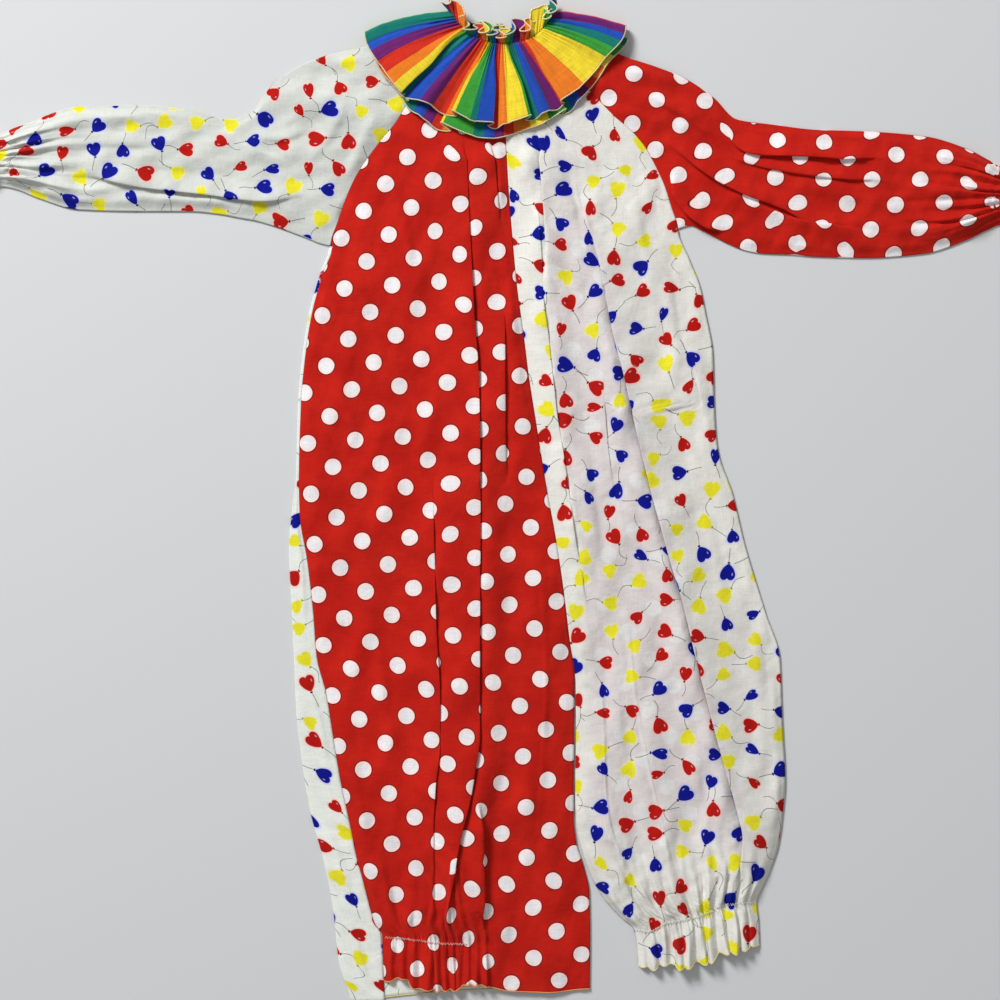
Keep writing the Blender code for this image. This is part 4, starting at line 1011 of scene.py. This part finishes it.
def back_right_panel():
    """Points of the white back with its side fold and the strip over the front, flat coordinates, and row lengths.

    The rows beside the raglan seam have neither the fold nor the strip.
    """
    side, middle = (heights[::2] for heights in leg_rows([*RIGHT_LEG_ROWS, BACK_HEM_RIGHT]))
    radius = FRONT_TOP / 2
    on_raglan = side > UNDERARM_RIGHT
    outer = np.where(on_raglan, through(RAGLAN_RIGHT)(side) + SEAM, through(SIDE_FOLD_RIGHT)(side) + radius)
    inner = edges(middle, CENTRE_SEAM, INSEAM_RIGHT, CROTCH, -SEAM)
    power = 1 + (HEM_CURVE - 1) * ease((HEM_CURVE_TOP - side) / HEM_CURVE_TOP)[:, None]
    under = laid_back(between(inner, outer, BACK_SHARES), between(middle, side, BACK_SHARES**power), 78)
    turns = np.linspace(0, np.pi, FOLD_TURNS + 1)[1:]
    x, z = outer[:, None] - radius * np.sin(turns), radius - radius * np.cos(turns)
    around = np.stack(np.broadcast_arrays(x, side[:, None], z), 2)
    seam_x = through(SIDE_SEAM_RIGHT)(side) - SEAM
    x = between(outer, seam_x, np.linspace(0, 1, STRIP_COLUMNS + 1)[1:])
    y = np.broadcast_to(side[:, None], x.shape)
    edge = ease(np.minimum(x - outer[:, None], seam_x[:, None] - x) / 0.006)
    extra, shift_x, _ = crease_field(x, y, STRIP_CREASES)
    z = FRONT_TOP + (extra + 0.0006 * (1 + rumple(x, y, 79, 0.02, 1.2, 0.5))) * edge
    points = np.concatenate([under, around, np.stack([x + shift_x * edge, y, z], 2)], 1)
    lengths = np.where(on_raglan, BACK_COLUMNS, points.shape[1] - 1)
    return points, np.stack([inner[:, None] - arc_length(points, 1), points[:, :, 1]], 2), lengths


back_points = laid_back(*(between(start[::2], end[::2], BACK_SHARES) for start, end in zip(left, right)), 77)
uv = unfold(back_points, back_points[:, :, :2], 0)
back_left = cloth("back_left_cloth", back_points, uv, red_back, outside_up=False)
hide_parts("back_left")

back_right_points, uv, lengths = back_right_panel()
back_right = cloth("back_right_cloth", back_right_points, uv, white_back, lengths=lengths)
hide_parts("back_right")


# ---- sleeves ----
def sleeve_points(stations, raglan, underarm, sign, creases, seed):
    """Rings of a flattened sleeve and their flat coordinates."""
    seam_y = np.linspace(BODY_ROWS[0][0], underarm, 200)
    seam = np.stack([through(raglan)(seam_y) + sign * SEAM, seam_y], 1)
    seam = np.concatenate([[(sign * NECK_CORNER[0], NECK_CORNER[1])], seam])
    seam[-1] = seam[-1] + (seam[-2] - seam[-1]) / np.linalg.norm(seam[-2] - seam[-1]) * UNDERARM_GAP
    run = run_length(seam)
    share = np.linspace(0, 1, SLEEVE_COLUMNS + 1)
    seam = np.stack([np.interp(share * run[-1], run, part) for part in seam.T], 1)
    table = np.array([(*seam[0], *seam[-1])] + stations)
    length = run_length((table[:, :2] + table[:, 2:]) / 2)
    s = two_steps(0, length[-1] - CUFF_LENGTH, length[-1], ARM_ROWS, CUFF_ROWS)
    top_x, top_y, low_x, low_y = (through(list(zip(length, part)))(s) for part in table.T)
    # the first rows have the raglan seam's own curve
    curve = seam - (seam[0] + (seam[-1] - seam[0]) * share[:, None])
    keep = (1 - ease(np.hypot(low_x - seam[-1, 0], low_y - seam[-1, 1]) / SEAM_SHAPE_LENGTH))[:, None]
    x = between(top_x, low_x, share) + keep * curve[:, 0]
    y = between(top_y, low_y, share) + keep * curve[:, 1]
    width = np.hypot(low_x - top_x, low_y - top_y)[:, None]
    edge = ease(np.minimum(share, 1 - share) * width / EDGE_FADE) * ease(s / 0.02)[:, None]
    extra, shift_x, shift_y = crease_field(x, y, creases)
    rise, sway, _ = elastic(share[None, :], SLEEVE_ELASTIC - np.abs(x), width, GATHERS_CUFF, seed)
    soft = SLEEVE_RUMPLE * (0.7 + rumple(x, y, seed + 2, 0.040, 1.35))
    z = extra + 0.9 * rise + soft + FINE_RUMPLE * rumple(x, y, seed + 3, 0.016, 1.2, 0.9)
    z = z * edge + PUFF * np.sin(np.pi * share) * ease(s / 0.03)[:, None] + front_level(x, y)
    top = np.stack([x + shift_x * edge, y + (shift_y - sway) * edge, z], 2)
    bottom = np.stack([x, y, back_level(x, y)], 2)[:, ::-2]
    down = np.stack([low_x - top_x, low_y - top_y], 1) / width
    ring = close_ring(top, bottom, down, -down, 5)
    flat = unfold(top, np.stack([x, y], 2), SLEEVE_COLUMNS // 2)
    back = 1 - np.linspace(0, 1, ring.shape[1] - SLEEVE_COLUMNS + 1)[1:]
    over = flat[:, [0]] + (flat[:, [-1]] - flat[:, [0]]) * back[None, :, None]
    return ring, np.concatenate([flat, over], 1)


right_sleeve, uv = sleeve_points(SLEEVE_RIGHT_STATIONS, RAGLAN_RIGHT, UNDERARM_RIGHT, -1, SLEEVE_RIGHT_CREASES, 51)
sleeve_right = cloth("sleeve_right_cloth", right_sleeve, uv, white_sleeve, closed=True)
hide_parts("sleeve_right")
left_sleeve, uv = sleeve_points(SLEEVE_LEFT_STATIONS, RAGLAN_LEFT, UNDERARM_LEFT, 1, SLEEVE_LEFT_CREASES, 63)
sleeve_left = cloth("sleeve_left_cloth", left_sleeve, uv, red_sleeve, closed=True, outside_up=False)
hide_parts("sleeve_left")


# ---- collar ----
def ruffle_plan(degrees, rim_degrees, row, rim_column, back, pull=0.0):
    """Places in plan on a ruffle. row is 0 at the elastic and 1 at the rim, which is read off at rim_degrees."""
    neck = through(COLLAR_RIM, 1)(rim_degrees)
    rim = through(COLLAR_RIM, rim_column)(rim_degrees)
    middle = np.cos(np.radians(90 * degrees / COLLAR_HALF_ANGLE))
    if back:
        neck = neck - BACK_DIP * middle
        rim = rim * (1 - (1 - BACK_RIM_SHARE) * ease(middle * 3))
    radius = neck + (rim - neck) * row + pull * row**2
    turn = np.radians(degrees * (1 + COLLAR_BOW * (1 - (radius / COLLAR_REACH) ** 3)))
    return NECK[0] + radius * np.sin(turn), NECK[1] - radius * np.cos(turn)


def flap_shape(flaps):
    """For each column of a ruffle's front: degrees, degrees with its overhang, height share, and pull on its rim."""
    rows = []
    for (d0, top0, q0), (d1, top1, q1) in zip(flaps, flaps[1:]):
        t = np.linspace(0, 1, FLAP_COLUMNS + 1)[:-1]
        left_side = t < 0.5
        near = np.where(left_side, t, 1 - t)
        top = np.where(left_side, top0, -top1)
        overlap = np.where(left_side, q0, q1)
        covers = ease((near - 0.03) / 0.12)
        covered = ease((near - 0.20) / 0.28)
        plain = ease(near / 0.45)
        height = np.where(top > 0, covers, np.where(top < 0, covered, plain * 0.9))
        out = np.where(top > 0, overlap * np.sin(np.pi * np.minimum(near / 0.36, 1)), 0.0)
        out = np.where(left_side, -out, out)
        pull = -top * np.sin(np.pi * np.minimum(near / 0.40, 1))
        rows.append(np.stack([d0 + (d1 - d0) * t, d0 + (d1 - d0) * (t + out), height, pull], 1))
    rows.append(np.array([[flaps[-1][0], flaps[-1][0], 0.0, 0.0]]))
    return np.concatenate(rows).T


def collar_ring(front, back, facing_table, row, count):
    """A closed ring of columns, and the same ring with its first column again at its end."""
    facing = np.radians(through(facing_table)(row[:, 0]))
    right = np.stack([np.cos(facing), np.sin(facing)], 1)
    ring = close_ring(front, back, right, right * (-1, 1), count)
    return ring, np.concatenate([ring, ring[:, :1]], 1)


def collar_uv(closed, across):
    down = arc_length(closed, 0)
    return np.stack([np.broadcast_to(across, down.shape), down], 2)


def stripes_across(closed, front, stripe):
    """Flat distance of each column round a ring: given across its front, true round its folds, even at its back."""
    steps = np.linalg.norm(np.diff(closed[closed.shape[0] // 2], axis=0), axis=1)
    fold = (closed.shape[1] - front - BACK_COUNT) // 2
    right = np.cumsum(steps[front - 1 : front - 1 + fold])
    left = np.cumsum(steps[::-1][:fold])[::-1]
    last, end = stripe[-1] * STRIPE + right[-1], (stripe[0] + STRIPES_ROUND) * STRIPE
    back = np.linspace(last, end - left[0], BACK_COUNT + 2)[1:-1]
    return np.concatenate([stripe * STRIPE, stripe[-1] * STRIPE + right, back, end - left, [end]])


def ruffle(flaps, stripe_table, rim, lift, rise, back_height, tuck, creases, seed):
    """Rings of a ruffle from its elastic to its rim, and their flat coordinates."""
    shape = flap_shape(flaps)
    limit = COLLAR_HALF_ANGLE - tuck
    squeeze = limit / COLLAR_HALF_ANGLE
    base, degrees, height, pull = shape * np.array([[squeeze], [squeeze], [1], [RUFFLE_STEP]])
    columns = np.arange(len(base))
    row = np.linspace(0, 1, RUFFLE_ROWS)[:, None] ** 0.9
    spread = base + (degrees - base) * ease(row / 0.7 + 0.15)
    x, y = ruffle_plan(spread, base[None, :], row, rim, False, pull)
    gather = 0.5 + 0.5 * np.sin(2 * np.pi * (columns / 5.3 + 0.6 * np.sin(columns / 11)))
    swell = np.sin(2 * np.pi * (base / 9.3 + 0.35 * np.sin(base / 7.0) + 0.22 * row))
    z = front_level(x, y) + lift + through(rise)(row) * height
    z += 0.0024 * gather * (1 - ease(row / 0.75)) + 0.0005 * rumple(x, y, seed, 0.02) * ease(row * 4)
    z += 0.0007 * swell * ease(row / 0.4) * ease(height * 2)
    for at, depth, half in creases:
        z -= depth * bump(base - at - 1.5 * (1 - row), half) * ease(row * 4)
    back_degrees = np.linspace(limit, -limit, BACK_COUNT)[None, :]
    back_x, back_y = ruffle_plan(back_degrees, back_degrees, row, rim, True)
    back = np.stack([back_x, back_y, np.full_like(back_x, back_height)], 2)
    ring, closed = collar_ring(np.stack([x, y, z], 2), back, RUFFLE_FACING, row, 6)
    stripe = np.interp(shape[0], *np.array(stripe_table, float).T)
    return ring, collar_uv(closed, stripes_across(closed, len(base), stripe))


def header_half(ends, columns, waves, height, tips, curl, bow, swing, swell, rise, back):
    """Points of the front or back half of the frill above the neck elastic."""
    degrees = np.linspace(*ends, columns)[None, :]
    x, y = ruffle_plan(degrees, degrees, 0.0, 3, back)
    place = degrees / (2 * COLLAR_HALF_ANGLE) + 0.5
    wander = 0.22 * np.sin(2 * np.pi * 2.3 * place) + 0.12 * np.sin(2 * np.pi * (5.1 * place + 0.3))
    phase = 2 * np.pi * (waves * place + wander)
    pucker = 0.0010 * np.sin(5 * phase + 1.3 * np.sin(phase)) * (1 - rise) ** 1.2
    lobes = [(degrees - at, ease(1.7 * bump(degrees - at, half))) for at, half in tips]
    tip = sum(share for _, share in lobes)
    flop = 0.78 + 0.22 * np.sin(phase * 0.31 + 0.9)
    flop = flop + (0.96 - flop) * tip
    curl = curl * rise**0.7 * (1 - 0.85 * tip)
    bow = bow * (1 - tip) * np.sin(phase + 0.3)
    px = x - curl * swing * np.sin(2 * phase + 0.4 * np.sin(phase * 0.43)) + rise * HEADER_SPREAD * degrees / 80
    px = px + rise * 0.0042 * sum(share * np.sin(np.radians(off * 11)) for off, share in lobes)
    py = y + through(height)(degrees) * rise * flop * (0.76 + 0.14 * tip - bow * rise**0.5)
    level = HEADER_BACK_LEVEL if back else front_level(x, y) + HEADER_LEVEL
    pz = level + pucker + curl * (swell[0] + swell[1] * np.sin(phase)) + 0.0030 * tip * rise
    return np.stack([px, py, pz], 2)


def header_ring():
    """The frill above the neck elastic, curled like a lettuce edge but for its two open tips."""
    rise = np.linspace(0, 1, HEADER_ROWS)[:, None]
    front = header_half(rise=rise, back=False, **HEADER_FRONT)
    back = header_half(rise=rise, back=True, **HEADER_BACK)
    ring, closed = collar_ring(front, back, HEADER_FACING, rise, 10)
    count = front.shape[1]
    stripe = np.interp(np.linspace(*HEADER_FRONT["ends"], count), *np.array(HEADER_STRIPES, float).T)
    rest = np.linspace(stripe[-1], stripe[0] + STRIPES_ROUND, closed.shape[1] - count + 1)[1:]
    return ring, collar_uv(closed, np.concatenate([stripe, rest]) * STRIPE)


long_ring, long_uv = ruffle(**LONG_RUFFLE)
collar_long = cloth("collar_long_cloth", long_ring, long_uv, rainbow, True, True, RUFFLE_CLOTH)
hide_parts("collar_long")
short_ring, short_uv = ruffle(**SHORT_RUFFLE)
collar_short = cloth("collar_short_cloth", short_ring, short_uv, rainbow, True, True, RUFFLE_CLOTH)
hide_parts("collar_short")
head_ring, head_uv = header_ring()
header = cloth("collar_header_cloth", head_ring, head_uv, rainbow, True, False, HEADER_CLOTH)


# ---- serged edges and stitches ----
def zigzag(name, points, ankle, first, last, material):
    """Elastic stitching that zigzags along a line of the cloth between two shares across, riding over its flutes."""
    columns = points.shape[1]
    heights = through(ankle)(np.linspace(0, 1, columns))
    high, low = [], []
    for column, height in zip(np.swapaxes(points, 0, 1), heights):
        column = column[np.argsort(column[:, 1])]
        for line, offset in ((high, ZIGZAG_HALF), (low, -ZIGZAG_HALF)):
            line.append([np.interp(height + offset, column[:, 1], part) for part in column.T])
    high, low = np.array(high), np.array(low)
    run = run_length(high)
    first, last = (np.interp(share, np.linspace(0, 1, columns), run) for share in (first, last))
    stops = np.arange(first, last, ZIGZAG_PITCH / 12)
    swing = np.abs((stops / ZIGZAG_PITCH) % 1 * 2 - 1)[:, None]
    high, low = (np.stack([np.interp(stops, run, part) for part in line.T], 1) for line in (high, low))
    return tube(name, high + (low - high) * swing + (0, 0, 0.0005), STITCH, material, sides=4)


RIMS = [  # name, points of the rim, radius, slot, thread, whether it is closed, and its flat lengths
    ("edge_short", short_ring[-1], 0.0008, "rainbow_stripe", edge_rainbow, True, short_uv[-1, :, 0]),
    ("edge_long", long_ring[-1], 0.0008, "rainbow_stripe", edge_rainbow, True, long_uv[-1, :, 0]),
    ("edge_header", head_ring[-1], 0.0009, "rainbow_stripe", edge_rainbow, True, head_uv[-1, :, 0]),
    ("edge_hem_right", red_points[-1], 0.0008, "red_polka_dot", edge_orange, False, None),
    ("edge_hem_left", white_points[-1], 0.0008, "white_balloon", edge_yellow, False, None),
    ("edge_hem_back_right", back_right_points[-1], 0.0007, "white_balloon", edge_yellow, False, None),
    ("edge_hem_back_left", back_points[-1] + (0, 0, 0.0006), 0.0006, "red_polka_dot", edge_orange, False, None),
    ("edge_cuff_right", right_sleeve[-1], 0.0008, "white_balloon", edge_yellow, True, None),
    ("edge_cuff_left", left_sleeve[-1], 0.0008, "red_polka_dot", edge_orange, True, None),
]
for name, rim, radius, slot, thread, closed, along in RIMS:
    tube(name, rim, radius, thread, closed, along=along)
for name, points, ankle, last, slot, thread in (
    ("stitch_ankle_right", red_points, ANKLE_RIGHT, 0.55, "red_polka_dot", thread_pink),
    ("stitch_ankle_left", white_points, ANKLE_LEFT, 0.99, "white_balloon", thread_white),
):
    zigzag(name, points, ankle, 0.01, last, thread)


# ---- floor, light and camera ----
floor_material, n, shader = new_material("floor")
n.finish(shader, {"Base Color": (0.62, 0.63, 0.64, 1), "Roughness": 0.9})
floor_points = [(x * FLOOR_HALF, y * FLOOR_HALF, FLOOR_LEVEL) for x, y in ((-1, -1), (1, -1), (1, 1), (-1, 1))]
floor = add_mesh("floor", floor_points, [(0, 1, 2, 3)], floor_material)

for name, place, size, power in LIGHTS:
    lamp = bpy.data.lights.new(name, "AREA")
    lamp.shape, lamp.size, lamp.energy = "SQUARE", size, power
    light = bpy.data.objects.new(name, lamp)
    light.location = place
    light.rotation_euler = mathutils.Vector([-part for part in place]).to_track_quat("-Z", "Y").to_euler()
    bpy.context.scene.collection.objects.link(light)
world = bpy.data.worlds.new("studio")
world.use_nodes = True
world.node_tree.nodes["Background"].inputs["Color"].default_value = (1, 1, 1, 1)
world.node_tree.nodes["Background"].inputs["Strength"].default_value = 0.26
bpy.context.scene.world = world
bpy.context.scene.view_settings.view_transform = "Standard"

camera_data = bpy.data.cameras.new("camera")
camera_data.sensor_width = SENSOR
camera_data.lens = SENSOR * CAMERA[2] / VIEW_WIDTH
camera = bpy.data.objects.new("camera", camera_data)
camera.location = CAMERA
bpy.context.scene.collection.objects.link(camera)
bpy.context.scene.camera = camera
